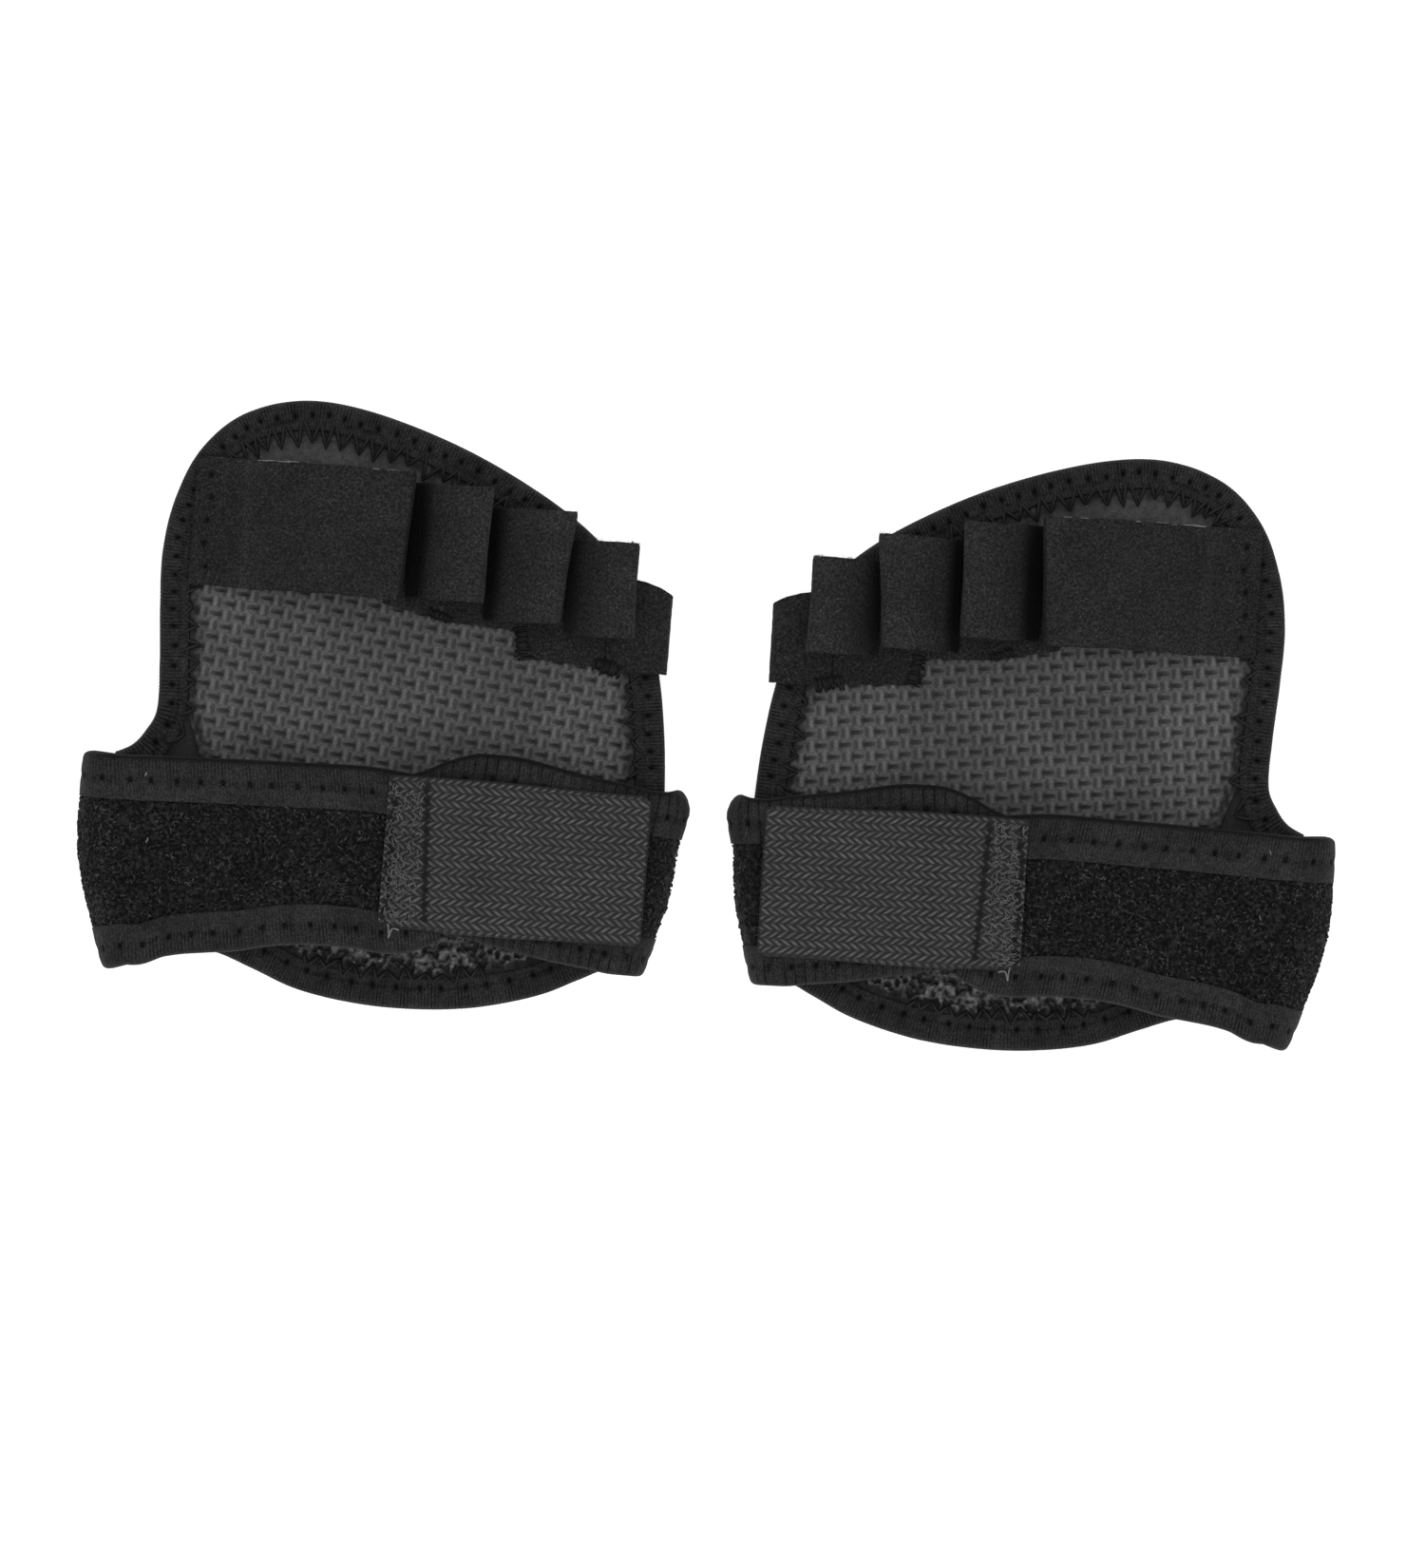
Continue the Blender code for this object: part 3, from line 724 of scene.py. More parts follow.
def zigzag(line, along, start, end, near, far, period, level):
    """A zigzag seam along an edge, with the thread diving at each turn. It reaches furthest in on
    the fingers' side."""
    way = inwards(line)
    count = int((end - start) / (period / 2))
    turns = start + (np.arange(count + 1) + RANDOM.uniform(-0.32, 0.32, count + 1)) * period / 2
    finger_side = ease((np.interp(turns, along, line[:, 1]) - 48) / 8)
    reach = far - 1.3 * (1 - finger_side)
    depths = np.where(np.arange(count + 1) % 2 == 0, near, reach)
    depths = depths + RANDOM.uniform(-0.9, 0.9, count + 1)
    path = []
    for s0, s1, d0, d1 in zip(turns, turns[1:], depths, depths[1:]):
        for t in np.linspace(0, 1, 6, endpoint=False):
            s = blend(s0, s1, t)
            d = blend(d0, d1, t)
            x = np.interp(s, along, line[:, 0]) + d * np.interp(s, along, way[:, 0])
            y = np.interp(s, along, line[:, 1]) + d * np.interp(s, along, way[:, 1])
            arch = math.sin(math.pi * min(max(t, 0.04), 0.96)) ** 0.5
            path.append((x, y, level - 0.45 + 0.62 * arch))
    return np.array(path)


def dotted(start, end, pitch, depth):
    """A row of stitches: distance along the edge and distance in from it."""
    at = np.arange(start, end, pitch)
    return [(s + 0.3 * math.sin(3.1 * s), depth + 0.25 * math.sin(1.3 * s)) for s in at]


def build_pad_edges(grip):
    """The tape and the zigzag seam along the pad's edge, and along its heel."""
    spacing = 0.17
    edges = (("pad_binding", PAD_EDGE, PAD_TAPE), ("heel_binding", HEEL_EDGE[::-1], HEEL_TAPE))
    for name, knots, front in edges:
        line, along = even_line(knots, spacing)
        heel = name == "heel_binding"
        dots = dotted(3, along[-1] - 3, STITCH_PITCH if heel else 3.7, 4.6 if heel else 3.0)
        solid = Solid().slab(*sweep_tape(line, along, front, dots))
        made = grip.make(f"{name}_tape", solid, "binding_tape", [name])
        grip.ride(made, "pad")
        width = tape_width(PAD_TOP / 2, front, PAD_TAPE_BACK)
        grip.sheet(made, width, along[-1], "folded", ["palm_core"])
        first, last = (27, along[-1] - 33) if heel else (8, along[-1] - 1)
        near, far = (5.4, 9.2) if heel else (4.3, 8.6)
        seam = Solid().tube(zigzag(line, along, first, last, near, far, 3.9, PAD_TOP), 0.36)
        grip.ride(grip.make(f"{name}_zigzag", seam, "thread"), "pad")


# ---------------- finger loops


def loop_height(share):
    """Height of a loop's back at a share of the way from its left foot to its crest."""
    return LOOP_FOOT + LOOP_RISE * (1 - (1 - share) ** 2.4)


def loop_profile(left, crest):
    """A loop's strip from its left foot over its crest, where it turns back down to the pad."""
    top = LOOP_FOOT + LOOP_RISE
    shares = (0, 0.1, 0.25, 0.5, 0.75)
    knots = [(left + share * (crest - left), loop_height(share)) for share in shares]
    knots += [(crest - 1.3, top), (crest, top - 1.3), (crest - 0.7, top - 5)]
    return [*knots, (crest - 2, LOOP_FOOT)]


def fuzz(solid, path, count):
    """Short stray fibres that stand out along an edge."""
    for k in RANDOM.integers(1, len(path) - 1, count):
        root = path[k] + RANDOM.normal(0, 0.12, 3)
        way = RANDOM.normal(0, 1, 3)
        way /= np.linalg.norm(way)
        bend = RANDOM.normal(0, 0.3, 3)
        size = 0.55 * RANDOM.uniform(0.4, 1.3)
        solid.tube([root, root + way * size * 0.5, root + (way + bend) * size], 0.035, sides=4)


def ribbon(line, y, offset, lean=0.0):
    """Points over a strip at an offset from its middle; the line is its x and z."""
    way = -inwards(line)
    return grid(line[:, :1] + lean + way[:, :1] * offset, y, line[:, 1:] + way[:, 1:] * offset)


def stretch_loop(grip, made):
    """Hands the piece to the bend with a foot on the pad and a top at the loops' height; the bend
    only bakes the piece's place into its mesh.
    """
    foot, top = (0, 0, LOOP_FOOT - 0.3), (0, 0, LOOP_FOOT + LOOP_RISE)
    grip.bend(made, "pad", "finger_loops", foot, top)


def build_loop(grip, name):
    """One finger loop: an arch of brushed elastic with fuzzy edges; the index loop is creased and
    sewn down at its long foot."""
    left, crest_top, crest_bottom, top, bottom = LOOPS[name]
    crest = (crest_top + crest_bottom) / 2
    knots = loop_profile(left, crest)
    if name == "index_loop":
        knots = [(-48.2, LOOP_FOOT - ELASTIC), (-45.6, LOOP_FOOT - ELASTIC - 0.1), *knots]
    line, along = even_line(knots, 0.33)
    v = np.linspace(0, 1, int((top - bottom) / 0.4))[None]
    s = along[:, None]
    x = line[:, :1]
    rim = 2 * np.abs(v - 0.5)
    peak = along[np.argmax(line[:, 1] + 0.01 * line[:, 0])]
    after = ease((s - peak - 1.9) / 0.8)
    lean = (crest_top - crest_bottom) / 2 * (2 * v - 1) * ease((x - left) / (crest - left))
    seed = len(name)
    y = blend(bottom, top, v) + 0.28 * rough(s, v, 5, seed) * rim**2
    sag = 0.35 * np.sin(math.pi * v) * np.sin(math.pi * ease(along / along[-1]))[:, None]
    fibre = 0.05 * rough(s, y, 0.8, seed) + 0.06 * rough(s, y, 3.0, seed)
    edge = 0.3 * rim**24
    # Painted shade: the painted shadow of the loop before on this loop's foot, painted shade where
    # the strip turns down past its crest, and painted light rising towards the crest. The strip is
    # also a little darker across its middle than at its top and bottom edges.
    shadow = LOOP_SHADOWS[name]
    foot = (1 - ease((x - left - shadow) / 3.2)) * min(shadow, 1)
    lit = 0.28 * ease((s - 0.35 * peak) / (0.65 * peak)) * (1 - after)
    shade = foot + 0.9 * after - lit + 0.12 * (1 - rim**2)
    if name == "index_loop":
        dots = [(3.0 + 0.4 * math.sin(y0), y0) for y0 in np.arange(38.3, 58, 4.6)]
        slant = -0.04 * (y - 47)
        crease = 0.22 * np.exp(-(((x - (-38.5 + slant)) / 1.3) ** 2))
        pit_and_shade = dimples(s, y, dots, across=0.75, along=0.6)
        fibre = fibre - crease - 0.5 * pit_and_shade
        # Painted shade in the stitch dimples, and a painted highlight beside the crease.
        shade = np.maximum(shade, pit_and_shade) - 0.25 * np.exp(-(((x - (-37.3 + slant)) / 0.8) ** 2))
    half = ELASTIC / 2
    outer = ribbon(line, y, half - edge + fibre - sag, lean)
    inner = ribbon(line, y, -half + edge * 0.6 - sag, lean)
    solid = Solid().slab(outer, inner, shade)
    count = 60
    for row in (0, -1):
        fuzz(solid, outer[:, row], int(count * along[-1] / 20))
    made = grip.make(f"{name}_elastic", solid, "finger_elastic", [name])
    stretch_loop(grip, made)
    under = "palm_face" if name == "index_loop" else "loop_base_strip"
    grip.sheet(made, top - bottom, along[-1], "folded", [under])


def build_base(grip):
    """The stepped strip under the loops."""
    points, quads, gap = cut_cells(np.array(BASE_STRIP, float), 0.5)
    x, y = points.T
    soft = 0.4 * (1 - ease(gap / 0.8))
    top = BASE_TOP + 0.06 * rough(x, y, 0.9) + 0.12 * rough(x, y, 4) - soft
    solid = Solid().cells(points, quads, top, BASE_BOTTOM)
    made = grip.make("base_strip_elastic", solid, "finger_elastic", ["loop_base_strip"])
    grip.ride(made, "pad")
    grip.sheet(made, *np.ptp(BASE_STRIP, axis=0), "laid", ["palm_face"], BASE_STRIP)


def build_strip_tail(grip):
    """The strip's tail, which goes on over the pad's edge."""
    line, along = even_line(STRIP_TAIL, 0.3)
    v = np.linspace(0, 1, 46)[None]
    s = along[:, None]
    lower, upper = 23.9, 43.6 - 0.22 * s - 0.12 * np.maximum(s - 8.5, 0) ** 1.5
    y = blend(lower, upper, v) + 0.2 * rough(s, s, 3) * (2 * v - 1)
    fibre = 0.06 * rough(s, y, 0.9) + 0.1 * rough(s, y, 4)
    solid = Solid().slab(ribbon(line, y, 0.45 + fibre), ribbon(line, y, -0.45))
    made = grip.make("strip_tail_elastic", solid, "finger_elastic", ["loop_strip_tail"])
    grip.ride(made, "pad")
    grip.sheet(made, float(np.mean(upper - lower)), along[-1], "folded", ["pad_binding"])


def build_bartacks(grip):
    """Bars of dense stitches, each a row of threads across the seam."""
    bars = {
        "index_bartack": ((0.4, 32.9), (5.0, 31.5), 1.6),
        "ring_bartack": ((19.2, 30.9), (20.4, 24.9), 2.6),
        "little_bartack": ((34.4, 25.2), (39.8, 23.9), 2.7),
    }
    for name, (start, end, width) in bars.items():
        solid = Solid()
        start, end = np.array(start), np.array(end)
        run = end - start
        side = np.array([-run[1], run[0]]) / np.linalg.norm(run)
        count = int(np.linalg.norm(run) / 0.3)
        t = np.linspace(-1, 1, 7)[:, None]
        for i in range(count):
            middle = start + run * (i + 0.5) / count + RANDOM.normal(0, 0.15, 2)
            half = width / 2 * RANDOM.uniform(0.7, 1.45)
            arch = BASE_TOP + 0.25 - 0.7 * np.abs(t) ** 3
            solid.tube(np.hstack([middle + side * half * t, arch]), 0.2, shade=0.6)
        grip.ride(grip.make(f"{name}_stitches", solid, "thread", [name]), "pad")


# ---------------- wrist wrap


class Wrap:
    """One end of the wrap as a surface: q runs -1 to 0 round the fold and 0 to 1 to its cut end,
    v runs 0 to 1 from the edge at the fingers' side to the edge at the wrist's side."""

    def __init__(self, name, hinge, top, bottom, rise, reach, outwards, end, level, dip):
        self.name, self.hinge, self.rise, self.reach = name, np.array(hinge), rise, reach
        self.top, self.bottom = height(top), height(bottom)
        self.outwards, self.end, self.level, self.dip = outwards, end, level, dip
        self.fold_length = 0.5 * math.pi * (rise / 2 + 7)
        self.flap_length = abs(np.mean(end) - np.mean(self.hinge[:, 0]))
        self.length = self.fold_length + self.flap_length

    def point(self, q, v):
        q, v = np.broadcast_arrays(q, v)
        turn = math.pi * (1 + np.minimum(q, 0))
        hx = blend(self.hinge[0, 0], self.hinge[1, 0], v)
        hy = blend(self.hinge[0, 1], self.hinge[1, 1], v)
        bulge = self.reach(np.clip(v, 0, 1)) * np.sin(turn)
        flap = np.maximum(q, 0)
        x = hx + self.outwards * bulge + (blend(*self.end, v) - hx) * flap
        edge_y = blend(self.top(x), self.bottom(x), v)
        y = blend(hy, edge_y, ease(flap / 0.12))
        y = y + np.sin(turn) * blend(self.dip[0], self.dip[1], v)
        folded = CORE_MID + self.rise / 2 * (1 - np.cos(turn))
        z = np.where(q < 0, folded, self.level(x))
        return np.stack([x, y, z], -1)

    def frame(self, q, v):
        """Points of the surface and its outward directions."""
        step = 0.004
        along = self.point(q + step, v) - self.point(q - step, v)
        across = self.point(q, v + step) - self.point(q, v - step)
        out = np.cross(along, across) * self.outwards
        out /= np.linalg.norm(out, axis=-1)[..., None]
        return self.point(q, v), out

    def edge_frame(self, edge, q, share):
        """The same at a share of the width in from the top or the bottom edge."""
        return self.frame(q, share if edge == "top" else 1 - share)

    def width(self, q):
        x = blend(np.mean(self.hinge[:, 0]), np.mean(self.end), np.maximum(q, 0))
        fold = abs(self.hinge[0, 1] - self.hinge[1, 1])
        return np.where(q < 0, fold, self.top(x) - self.bottom(x))

    def along(self, q):
        """Distance along the wrap from its hinge line, negative round the fold."""
        return np.where(q < 0, q * self.fold_length, q * self.flap_length)

    def columns(self, spacing):
        """Values of q at a spacing along the whole wrap."""
        fold = np.linspace(-1, 0, int(self.fold_length / spacing) + 2)
        flap = np.linspace(0, 1, int(self.flap_length / spacing) + 2)[1:]
        return np.concatenate([fold, flap])[:, None]


def thumb_level(x):
    """Height of the middle of the core, which climbs over the little finger's end."""
    return CORE_MID + blend(THUMB_RISE, 15.7, ease((x + 56) / 48))


def little_level(x):
    crown = np.sin(math.pi * np.clip((50 - x) / 53, 0, 1))
    return CORE_MID + LITTLE_RISE + 0.6 * crown


def thumb_reach(v):
    """How far the middle of the fold stands out from its hinge line."""
    shares = (0, 0.05, 0.32, 0.464, 0.61, 0.75, 0.85, 0.943, 1)
    return np.interp(v, shares, (6.5, 6.8, 8.7, 9.1, 8.5, 7.4, 6.4, 5.5, 4.8)) - FOLD_SKIN


def little_reach(v):
    shares = (0, 0.05, 0.1, 0.285, 0.446, 0.6, 0.74, 0.876, 1)
    return np.interp(v, shares, (3.9, 5.7, 6.5, 6.2, 6.7, 6.9, 6.2, 5.5, 4.9)) - FOLD_SKIN


THUMB = Wrap(
    "thumb", THUMB_HINGE, THUMB_TOP, THUMB_BOTTOM, THUMB_RISE, thumb_reach,
    outwards=-1, end=(2.2, 8.4), level=thumb_level, dip=(0.3, -1.0),
)
LITTLE = Wrap(
    "little", LITTLE_HINGE, LITTLE_TOP, LITTLE_BOTTOM, LITTLE_RISE, little_reach,
    outwards=1, end=(-2.6, -2.6), level=little_level, dip=(0, 0),
)


def bend_wrap(grip, made, wrap):
    """Hands the piece to the bend at the wrap's fold, low and high over the middle of its hinge
    line; the bend only bakes the piece's place into its mesh.
    """
    x, y = wrap.hinge.mean(0)
    low = (x, y, CORE_MID + 0.15 * wrap.rise)
    high = (x, y, CORE_MID + wrap.rise - 2.1)
    grip.bend(made, "pad", f"{wrap.name}_wrap", low, high)


def build_wrap_core(grip, wrap):
    """The neoprene, from 1.2 mm inside one edge to 1.2 mm inside the other."""
    q = wrap.columns(0.8)
    v = np.linspace(0, 1, 44)[None]
    width = wrap.width(q)
    v = blend(1.2 / width, 1 - 1.2 / width, v)
    base, out = wrap.frame(q, v)
    knit = 0.04 * rough(wrap.along(q), v * 40, 1.6)
    top = base + out * WRAP_CORE
    bottom = base - out * (WRAP_CORE + knit - 0.04)[..., None]
    solid = Solid().slab(top, bottom)
    nodes = [f"{wrap.name}_wrap_core", f"{wrap.name}_fold"]
    made = grip.make(f"{wrap.name}_wrap_neoprene", solid, "neoprene", nodes)
    bend_wrap(grip, made, wrap)


def build_wrap_pile(grip, wrap):
    """The loop pile between the two bindings of the wrap."""
    fine = wrap.name == "thumb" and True
    spacing = 0.3 if fine else 0.5
    q = wrap.columns(spacing)
    width = wrap.width(q)
    rows = np.linspace(0, 1, int(24 / spacing))[None]
    v = blend((TOP_TAPE - 0.1) / width, 1 - (BOTTOM_TAPE - 0.1) / width, rows)
    base, out = wrap.frame(q, v)
    s, d = wrap.along(q), v * width
    tuft = 0.26 * rough(s, d, 0.75, 3) + 0.16 * rough(s, d, 2.6, 4)
    top = base + out * (PILE_TOP + tuft)[..., None]
    # Painted shade: darker where the pile's tufts lie low, lighter where they stand high.
    shade = np.clip(0.66 - 1.8 * tuft, 0, 1)
    solid = Solid().slab(top, base + out * (WRAP_CORE + 0.03), shade)
    node = f"{wrap.name}_wrap_pile"
    backing = grip.make(f"{node}_cloth", solid, "loop_pile", [node])
    bend_wrap(grip, backing, wrap)
    loops = build_pile_loops(grip, wrap, 4200 if fine else 900)
    wide = float(np.mean(width)) - TOP_TAPE - BOTTOM_TAPE
    core = [f"{wrap.name}_wrap_core"]
    grip.sheet(backing, wide, wrap.length, "folded", core, with_pieces=[loops])


def build_pile_loops(grip, wrap, count):
    """Small loops of fibre, scattered over the pile and lying every way."""
    solid = Solid()
    q_at = RANDOM.uniform(-0.97, 0.99, count)
    v_at = RANDOM.uniform(0, 1, count)
    w = wrap.width(q_at)
    v_at = blend((TOP_TAPE + 0.2) / w, 1 - (BOTTOM_TAPE + 0.2) / w, v_at)
    places, outs = wrap.frame(q_at, v_at)
    for place, up in zip(places, outs):
        way = np.cross(up, RANDOM.normal(0, 1, 3))
        way /= np.linalg.norm(way)
        size = RANDOM.uniform(0.3, 0.6)
        lift = PILE_TOP + RANDOM.uniform(-0.1, 0.2)
        bow = np.cross(up, way) * RANDOM.uniform(-0.35, 0.35)
        arch = ((-1, -0.25, 0), (-0.5, 0.1, 1), (0.4, 0.12, 1), (1, -0.25, 0))
        path = [place + way * size * a + bow * c + up * (lift + b) for a, b, c in arch]
        solid.tube(path, 0.12, sides=4, shade=0.4 - 3.8 * RANDOM.random() ** 2.4)
    made = grip.make(f"{wrap.name}_wrap_loops", solid, "loop_pile")
    bend_wrap(grip, made, wrap)
    return made


def build_wrap_tape(grip, wrap, edge, front, dots):
    """One binding of the wrap, round the fold and along the edge, with its row of stitches."""
    spacing = 0.17 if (wrap.name == "thumb") else 0.3
    q = wrap.columns(spacing)
    width = wrap.width(q)
    section = tape_section(WRAP_HALF, TAPE, front, WRAP_TAPE_BACK, nose=1.5)
    outer_d, outer_n, inner_d, inner_n = section
    s = wrap.along(q)
    upper = outer_n > 0.6 * WRAP_HALF
    pit_and_shade = dimples(s, np.where(upper, outer_d, -9)[None], dots)
    seam = np.exp(-(((outer_d - dots[0][1]) / 0.8) ** 2))[None] * np.where(upper, 1, 0)
    swell = 0.2 * (ribs(s) - 0.5) + 0.1 * rough(s, outer_d[None], 3.5, front)
    bow = np.where(upper, 0.18 * np.sin(math.pi * np.clip(outer_d / front, 0, 1)), 0)[None]
    lift = outer_n[None] * (1 + swell / WRAP_HALF * 0.5) + bow - 0.42 * pit_and_shade - 0.16 * seam

    def place(d, n):
        base, out = wrap.edge_frame(edge, q, d / width)
        return base + out * n[..., None]

    # Painted shade: darker between the ribs near the edge, in each stitch dimple, along the sunk
    # seam line, and on the nose where the tape turns down, most on the top edge. Random noise
    # darkens it too.
    near_edge = blend(1.0, 0.35, np.clip((outer_d - 2.0) / 3.0, 0, 1))[None]
    turned = np.clip(1.7 - outer_d / 0.75, 0, 1)[None] * (1.0 if edge == "top" else 0.35)
    groove = 1.6 * (0.74 - ribs(s)) * near_edge + 0.5 * rough(s, outer_d[None], 1.0) + 0.3 * seam
    shade = np.maximum(np.maximum(1.3 * pit_and_shade, groove), turned)
    solid = Solid().slab(place(outer_d, lift), place(inner_d, inner_n), shade)
    node = f"{wrap.name}_wrap_{edge}_binding"
    tape = grip.make(f"{node}_tape", solid, "binding_tape", [node])
    bend_wrap(grip, tape, wrap)
    stitches = build_stitches(grip, wrap, edge, dots)
    across = tape_width(WRAP_HALF, front, WRAP_TAPE_BACK)
    core = [f"{wrap.name}_wrap_core"]
    grip.sheet(tape, across, wrap.length, "folded", core, with_pieces=[stitches])


def build_stitches(grip, wrap, edge, dots):
    """A sunk thread in each dimple of a binding, and two pale fibres beside it."""
    solid = Solid()
    arch = WRAP_HALF - 0.8 + 0.3 * np.cos(np.linspace(-1.4, 1.4, 5))
    for s, d in dots:
        q = (s + np.linspace(-0.75, 0.75, 5)) / (wrap.fold_length if s < 0 else wrap.flap_length)
        base, out = wrap.edge_frame(edge, q, d / wrap.width(q))
        solid.tube(base + out * arch[:, None], 0.2, shade=0.4)
        share = (d + np.array([0.6, 1.4, 2.4])) / wrap.width(q[2])
        for lean in (-0.5, 0.5):
            q_fibre = q[2] + np.array([0.1, 0.6, 1]) * lean * (q[3] - q[2]) / 0.375
            base, out = wrap.edge_frame(edge, q_fibre, share)
            shade = RANDOM.uniform(-9, -1)
            solid.tube(base + out * (WRAP_HALF + 0.12), 0.09, sides=4, shade=shade)
    made = grip.make(f"{wrap.name}_wrap_{edge}_binding_stitches", solid, "thread")
    bend_wrap(grip, made, wrap)
    return made


def build_wraps(grip):
    for wrap in (THUMB, LITTLE):
        build_wrap_core(grip, wrap)
        build_wrap_pile(grip, wrap)
        first, last = -3 * STITCH_PITCH + 2.6, wrap.flap_length - 3
        upper = dotted(first, last, STITCH_PITCH, 5.0)
        lower = dotted(first + 1.6, last, 4.7, 4.2)
        build_wrap_tape(grip, wrap, "top", TOP_TAPE, upper)
        build_wrap_tape(grip, wrap, "bottom", BOTTOM_TAPE, lower)


# ---------------- closure tab


def tab_level(x):
    """Height of the tab's middle, which steps down from its sewn root onto the pile."""
    return blend(TAB_ROOT_LEVEL, TAB_LEVEL, ease((x - 10.5) / 8))


def herringbone(x, y):
    """Height of knitted webbing: rows of plump stitches that slant to and fro."""
    row = y / KNIT_ROW
    j = np.floor(row)
    part = row - j
    slant = 1.15 * (part - 0.5) * np.where(j % 2 == 0, 1, -1)
    phase = x / KNIT_WIDTH + slant + 0.23 * (j % 3) + 0.12 * rough(x, y, 3, 4)
    bead = 0.5 + 0.5 * np.cos(2 * math.pi * phase)
    plump = (0.74 + 0.26 * rough(x, y, 1.1)) * (0.9 + 0.1 * np.cos(2.6 * j))
    return plump * bead ** 1.7 * np.sin(math.pi * part) ** 0.7


def build_tab(grip):
    """The webbing, with a stepped root, rounded tip corners and two rows of stitch holes."""
    step = 0.17
    x = np.arange(TAB["root"], TAB["tip"] + step / 2, step)[:, None]
    v = np.linspace(0, 1, int(31.2 / step))[None]
    into = np.maximum(x - (TAB["tip"] - TAB["corner"]), 0)
    narrow = TAB["corner"] - np.sqrt(np.maximum(TAB["corner"] ** 2 - into**2, 0.0))
    top = TAB["top"] + 0.45 + 0.25 * np.sin(x / 9) - narrow * 0.9
    bottom = TAB["bottom"] - 0.25 + 0.2 * np.sin(x / 7 + 2) + narrow * 0.8
    y = blend(top, bottom, v)
    wobble = 0.25 * rough(x, y, 9)
    knit = herringbone(x + wobble, y + 0.4 * wobble)
    rim = np.minimum(np.minimum(top - y, y - bottom), TAB["tip"] - x)
    rim = 1 - np.clip(rim / 0.9, 0, 1)
    root_dots = [(TAB["root"] + 1.1 + 0.4 * math.sin(2 * k), -2.6 - 3.1 * k) for k in range(10)]
    box_dots = [(3.4 + 0.16 * k, -2.2 - 2.9 * k) for k in range(10)]
    pit_and_shade = dimples(x, y, root_dots + box_dots, across=0.85, along=0.55)
    seam = np.exp(-(((x - 3.4 + (y + 2.2) * 0.055) / 0.9) ** 2))
    seam = seam + np.exp(-(((x - TAB["root"] - 1.0) / 0.8) ** 2))
    level = tab_level(x) + 0.15 * np.sin(y / 5 + x / 13) - 0.12 * seam
    face = level + WEBBING / 2 - 0.42 + 0.5 * knit - 0.45 * pit_and_shade - 0.42 * rim**2
    back = level - WEBBING / 2 + 0.2 * rim
    # Painted shade between the knitted beads, in the stitch holes and along the tab's edges, and
    # painted highlights on the beads.
    painted_rim_shade = np.clip(2.2 * rim - 0.9, 0, 1)
    shade = np.clip(1.4 * (1 - knit) - 0.4 + pit_and_shade + painted_rim_shade, -0.5, 1)
    solid = Solid().slab(grid(x, y, face), grid(x, y, back), shade)
    nodes = ["tab_root", "closure_tab"]
    webbing = grip.make("closure_tab_webbing", solid, "woven_elastic", nodes)
    start, end = (TAB["hinge"] - 1, 0, 0), (TAB["hinge"] + 1.6, 0, 0)
    grip.bend(webbing, "thumb_wrap", "tab", start, end)
    seams = build_tab_seams(grip, root_dots, box_dots)
    on_tab = [seams, build_loose_threads(grip), build_hooks(grip)]
    width, length = TAB["top"] - TAB["bottom"], TAB["tip"] - TAB["root"]
    under = ["thumb_wrap_pile", "little_wrap_pile"]
    grip.sheet(webbing, width, length, "laid", under, with_pieces=on_tab)


def build_tab_seams(grip, *rows):
    """The threads between the holes of the tab's two seams."""
    solid = Solid()
    t = np.linspace(0.1, 0.9, 7)
    level = TAB_ROOT_LEVEL + WEBBING / 2 - 0.42 + 0.42 * np.sin(math.pi * t) ** 0.5
    for dots in rows:
        for (x0, y0), (x1, y1) in zip(dots, dots[1:]):
            solid.tube(grid(blend(x0, x1, t), blend(y0, y1, t), level), 0.2, shade=0.5)
    made = grip.make("tab_seams", solid, "thread", ["tab_stitching"])
    return grip.ride(made, "thumb_wrap")


def build_loose_threads(grip):
    """Loose knit threads on the tab's sewn-down root, and the thread tail at its lower corner."""
    solid = Solid()
    level = TAB_ROOT_LEVEL + WEBBING / 2
    t = np.linspace(-1, 1, 5)
    for _ in range(230):
        x, y = RANDOM.uniform(-3.6, 2.6), RANDOM.uniform(-29.6, -1.6)
        turn, bend = RANDOM.uniform(0, math.pi), RANDOM.uniform(-0.5, 0.5)
        size = RANDOM.uniform(0.35, 0.8)
        side = bend * (1 - t * t)
        run_x = math.cos(turn) * size * t - math.sin(turn) * side
        run_y = math.sin(turn) * size * t + math.cos(turn) * side
        path = grid(x + run_x, y + run_y, level + 0.1 - 0.35 * np.abs(t) ** 3)
        solid.tube(path, 0.12, sides=4, shade=RANDOM.uniform(-0.2, 0.5))
    tail = [
        (-2.2, -29.9, 21.2), (-1.9, -31.6, 21.0), (-1.9, -32.7, 20.6),
        (-1.3, -30.9, 21.1), (0.1, -31.0, 21.2),
    ]
    solid.tube(smooth_line(tail, 4), 0.17, shade=-0.5)
    made = grip.make("tab_loose_threads", solid, "woven_elastic")
    return grip.ride(made, "thumb_wrap")


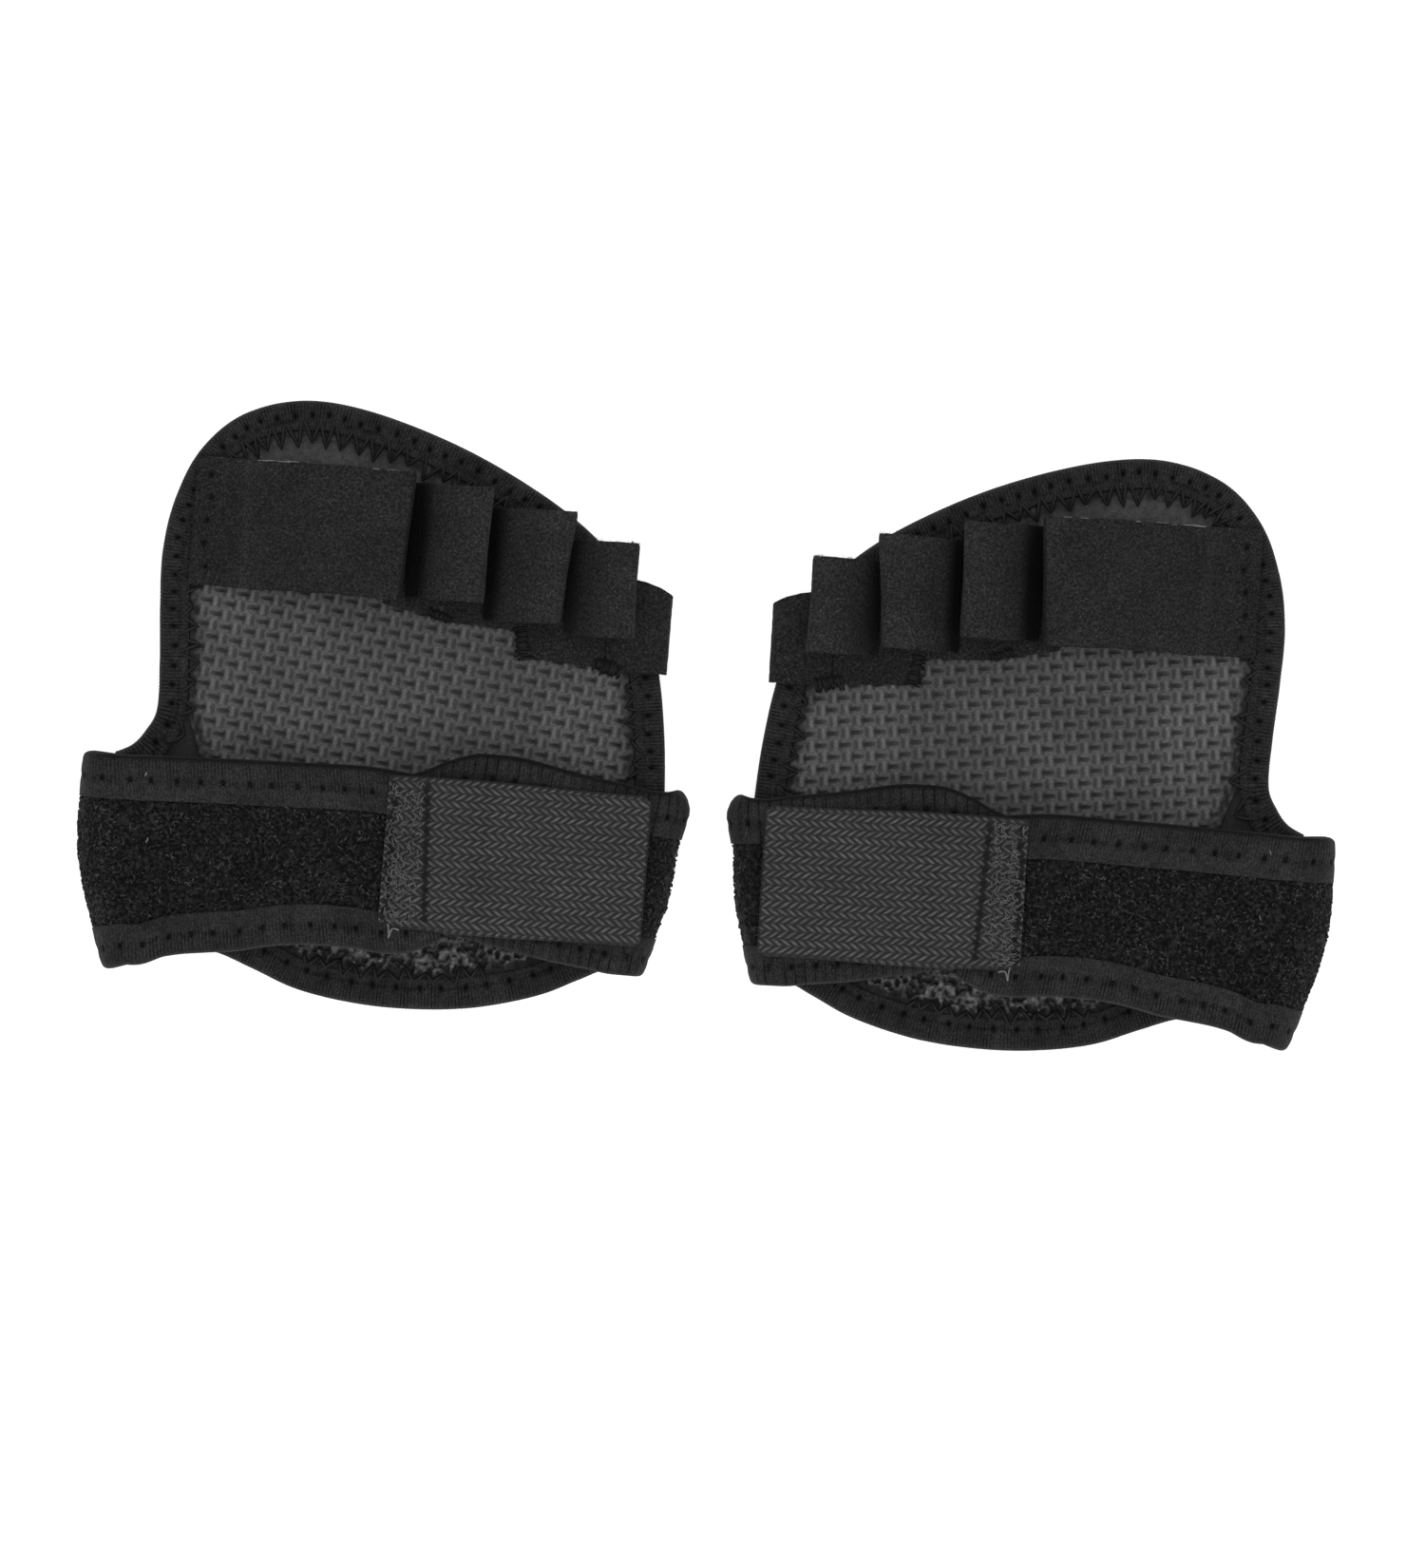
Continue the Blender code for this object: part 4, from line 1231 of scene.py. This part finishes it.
def build_hooks(grip):
    """The hook patch under the tab: a thin plate with rows of small bent hooks."""
    x = np.linspace(20, TAB["tip"] - 3, 60)[:, None]
    v = np.linspace(0, 1, 60)[None]
    y = blend(TAB["top"] - 1.5, TAB["bottom"] + 1.5, v)
    level = tab_level(x) - WEBBING / 2 - 0.12
    under = level - 0.35 + 0.03 * rough(x, y, 1)
    solid = Solid().slab(grid(x, y, level), grid(x, y, under))
    hook = np.array([(0, 0, 0), (0.05, 0, -0.25), (0.25, 0, -0.4), (0.42, 0, -0.28)])
    for hook_x in np.arange(21, TAB["tip"] - 3.6, 1.3):
        for hook_y in np.arange(TAB["bottom"] + 2.2, TAB["top"] - 2.1, 1.3):
            root = (hook_x, hook_y, tab_level(hook_x) - WEBBING / 2 - 0.4)
            solid.tube(hook + root, 0.1, sides=4)
    made = grip.make("hook_patch_hooks", solid, "hook_tape", ["hook_patch"])
    return grip.ride(made, "tab")


# ---------------- lint


def build_lint(grip):
    """A few pale stray fibres, on the wrap and along the upper edge of the index loop."""
    solid = Solid()
    for x, y in ((-52.8, -4.2), (-51.5, -17.3)):
        z = float(thumb_level(np.array(x))) + WRAP_HALF + 0.05
        solid.tube([(x - 0.2, y - 0.4, z), (x, y, z + 0.15), (x + 0.1, y + 0.5, z)], 0.12)
    grip.ride(grip.make("wrap_lint", solid, "thread", look="lint"), "thumb_wrap")
    solid = Solid()
    for x in (*RANDOM.uniform(-36, -22, 9), -12.0, -8.5):
        z = loop_height((x + 41) / 36) + 0.35
        y = 60.1 + RANDOM.uniform(-0.1, 0.15)
        length = RANDOM.uniform(0.5, 1.6)
        path = [(x - length, y, z - 0.05), (x, y + 0.06, z + 0.1), (x + length, y, z + 0.05)]
        solid.tube(path, 0.06, sides=4)
    stretch_loop(grip, grip.make("loop_lint", solid, "finger_elastic", look="lint"))


# ---------------- stage


STUDIO_GLOW = 0.72
CAMERA_HEIGHT = 1.7
VIEW_WIDTH = 0.285


def build_stage():
    """A pale floor that glows a little, a white surround and three soft lights."""
    bpy.ops.mesh.primitive_plane_add(size=4, location=(0, 0, -0.0002))
    floor = bpy.context.object
    floor.name = "floor"
    material = bpy.data.materials.new("floor_look")
    material.use_nodes = True
    shader = material.node_tree.nodes["Principled BSDF"]
    set_inputs(shader, {"Base Color": grey(0.6), "Roughness": 0.9})
    set_inputs(shader, {"Emission Color": grey(1), "Emission Strength": STUDIO_GLOW})
    floor.data.materials.append(material)
    world = bpy.data.worlds.new("studio")
    bpy.context.scene.world = world
    world.use_nodes = True
    background = world.node_tree.nodes["Background"]
    set_inputs(background, {"Color": grey(1), "Strength": STUDIO_GLOW})
    add_light("overhead", (0, -0.1, 1.0), 0.8, 3.4)
    add_light("front_rake", (-0.1, -1.0, 0.5), 0.7, 2.6)
    add_light("back_rake", (0.2, 1.0, 0.6), 0.7, 1.6)


def add_light(name, place, size, power):
    light = bpy.data.lights.new(name, "AREA")
    light.size = size
    light.energy = power
    lamp = bpy.data.objects.new(name, light)
    lamp.location = place
    aim = -lamp.location.normalized()
    lamp.rotation_euler = aim.to_track_quat("-Z", "Y").to_euler()
    bpy.context.scene.collection.objects.link(lamp)


def build_camera():
    """Straight down, with a long lens, over the middle of the photograph's frame."""
    data = bpy.data.cameras.new("camera")
    data.sensor_fit = "HORIZONTAL"
    data.sensor_width = 36
    data.lens = data.sensor_width * CAMERA_HEIGHT / VIEW_WIDTH
    data.clip_start = 0.01
    data.clip_end = 20
    camera = bpy.data.objects.new("camera", data)
    camera.location = (0.0011, -0.0117, CAMERA_HEIGHT + 0.01)
    bpy.context.scene.collection.objects.link(camera)
    bpy.context.scene.camera = camera


def main():
    looks = {
        "embossed_rubber": embossed_rubber(),
        "binding_tape": binding_look(),
        "loop_pile": pile_look(),
        "finger_elastic": elastic_look(),
        "woven_elastic": webbing_look(),
        "neoprene": neoprene_look(),
        "hook_tape": hook_look(),
        "thread": thread_look(),
        "lint": lint_look(),
    }
    for side in ("right", "left"):
        grip = Grip(side, looks)
        build_face(grip)
        build_patch(grip)
        build_foam(grip)
        build_pad_edges(grip)
        for name in LOOPS:
            build_loop(grip, name)
        build_base(grip)
        build_strip_tail(grip)
        build_bartacks(grip)
        build_wraps(grip)
        build_tab(grip)
        build_lint(grip)
    build_stage()
    build_camera()
    bpy.context.scene.view_settings.view_transform = "Standard"


main()
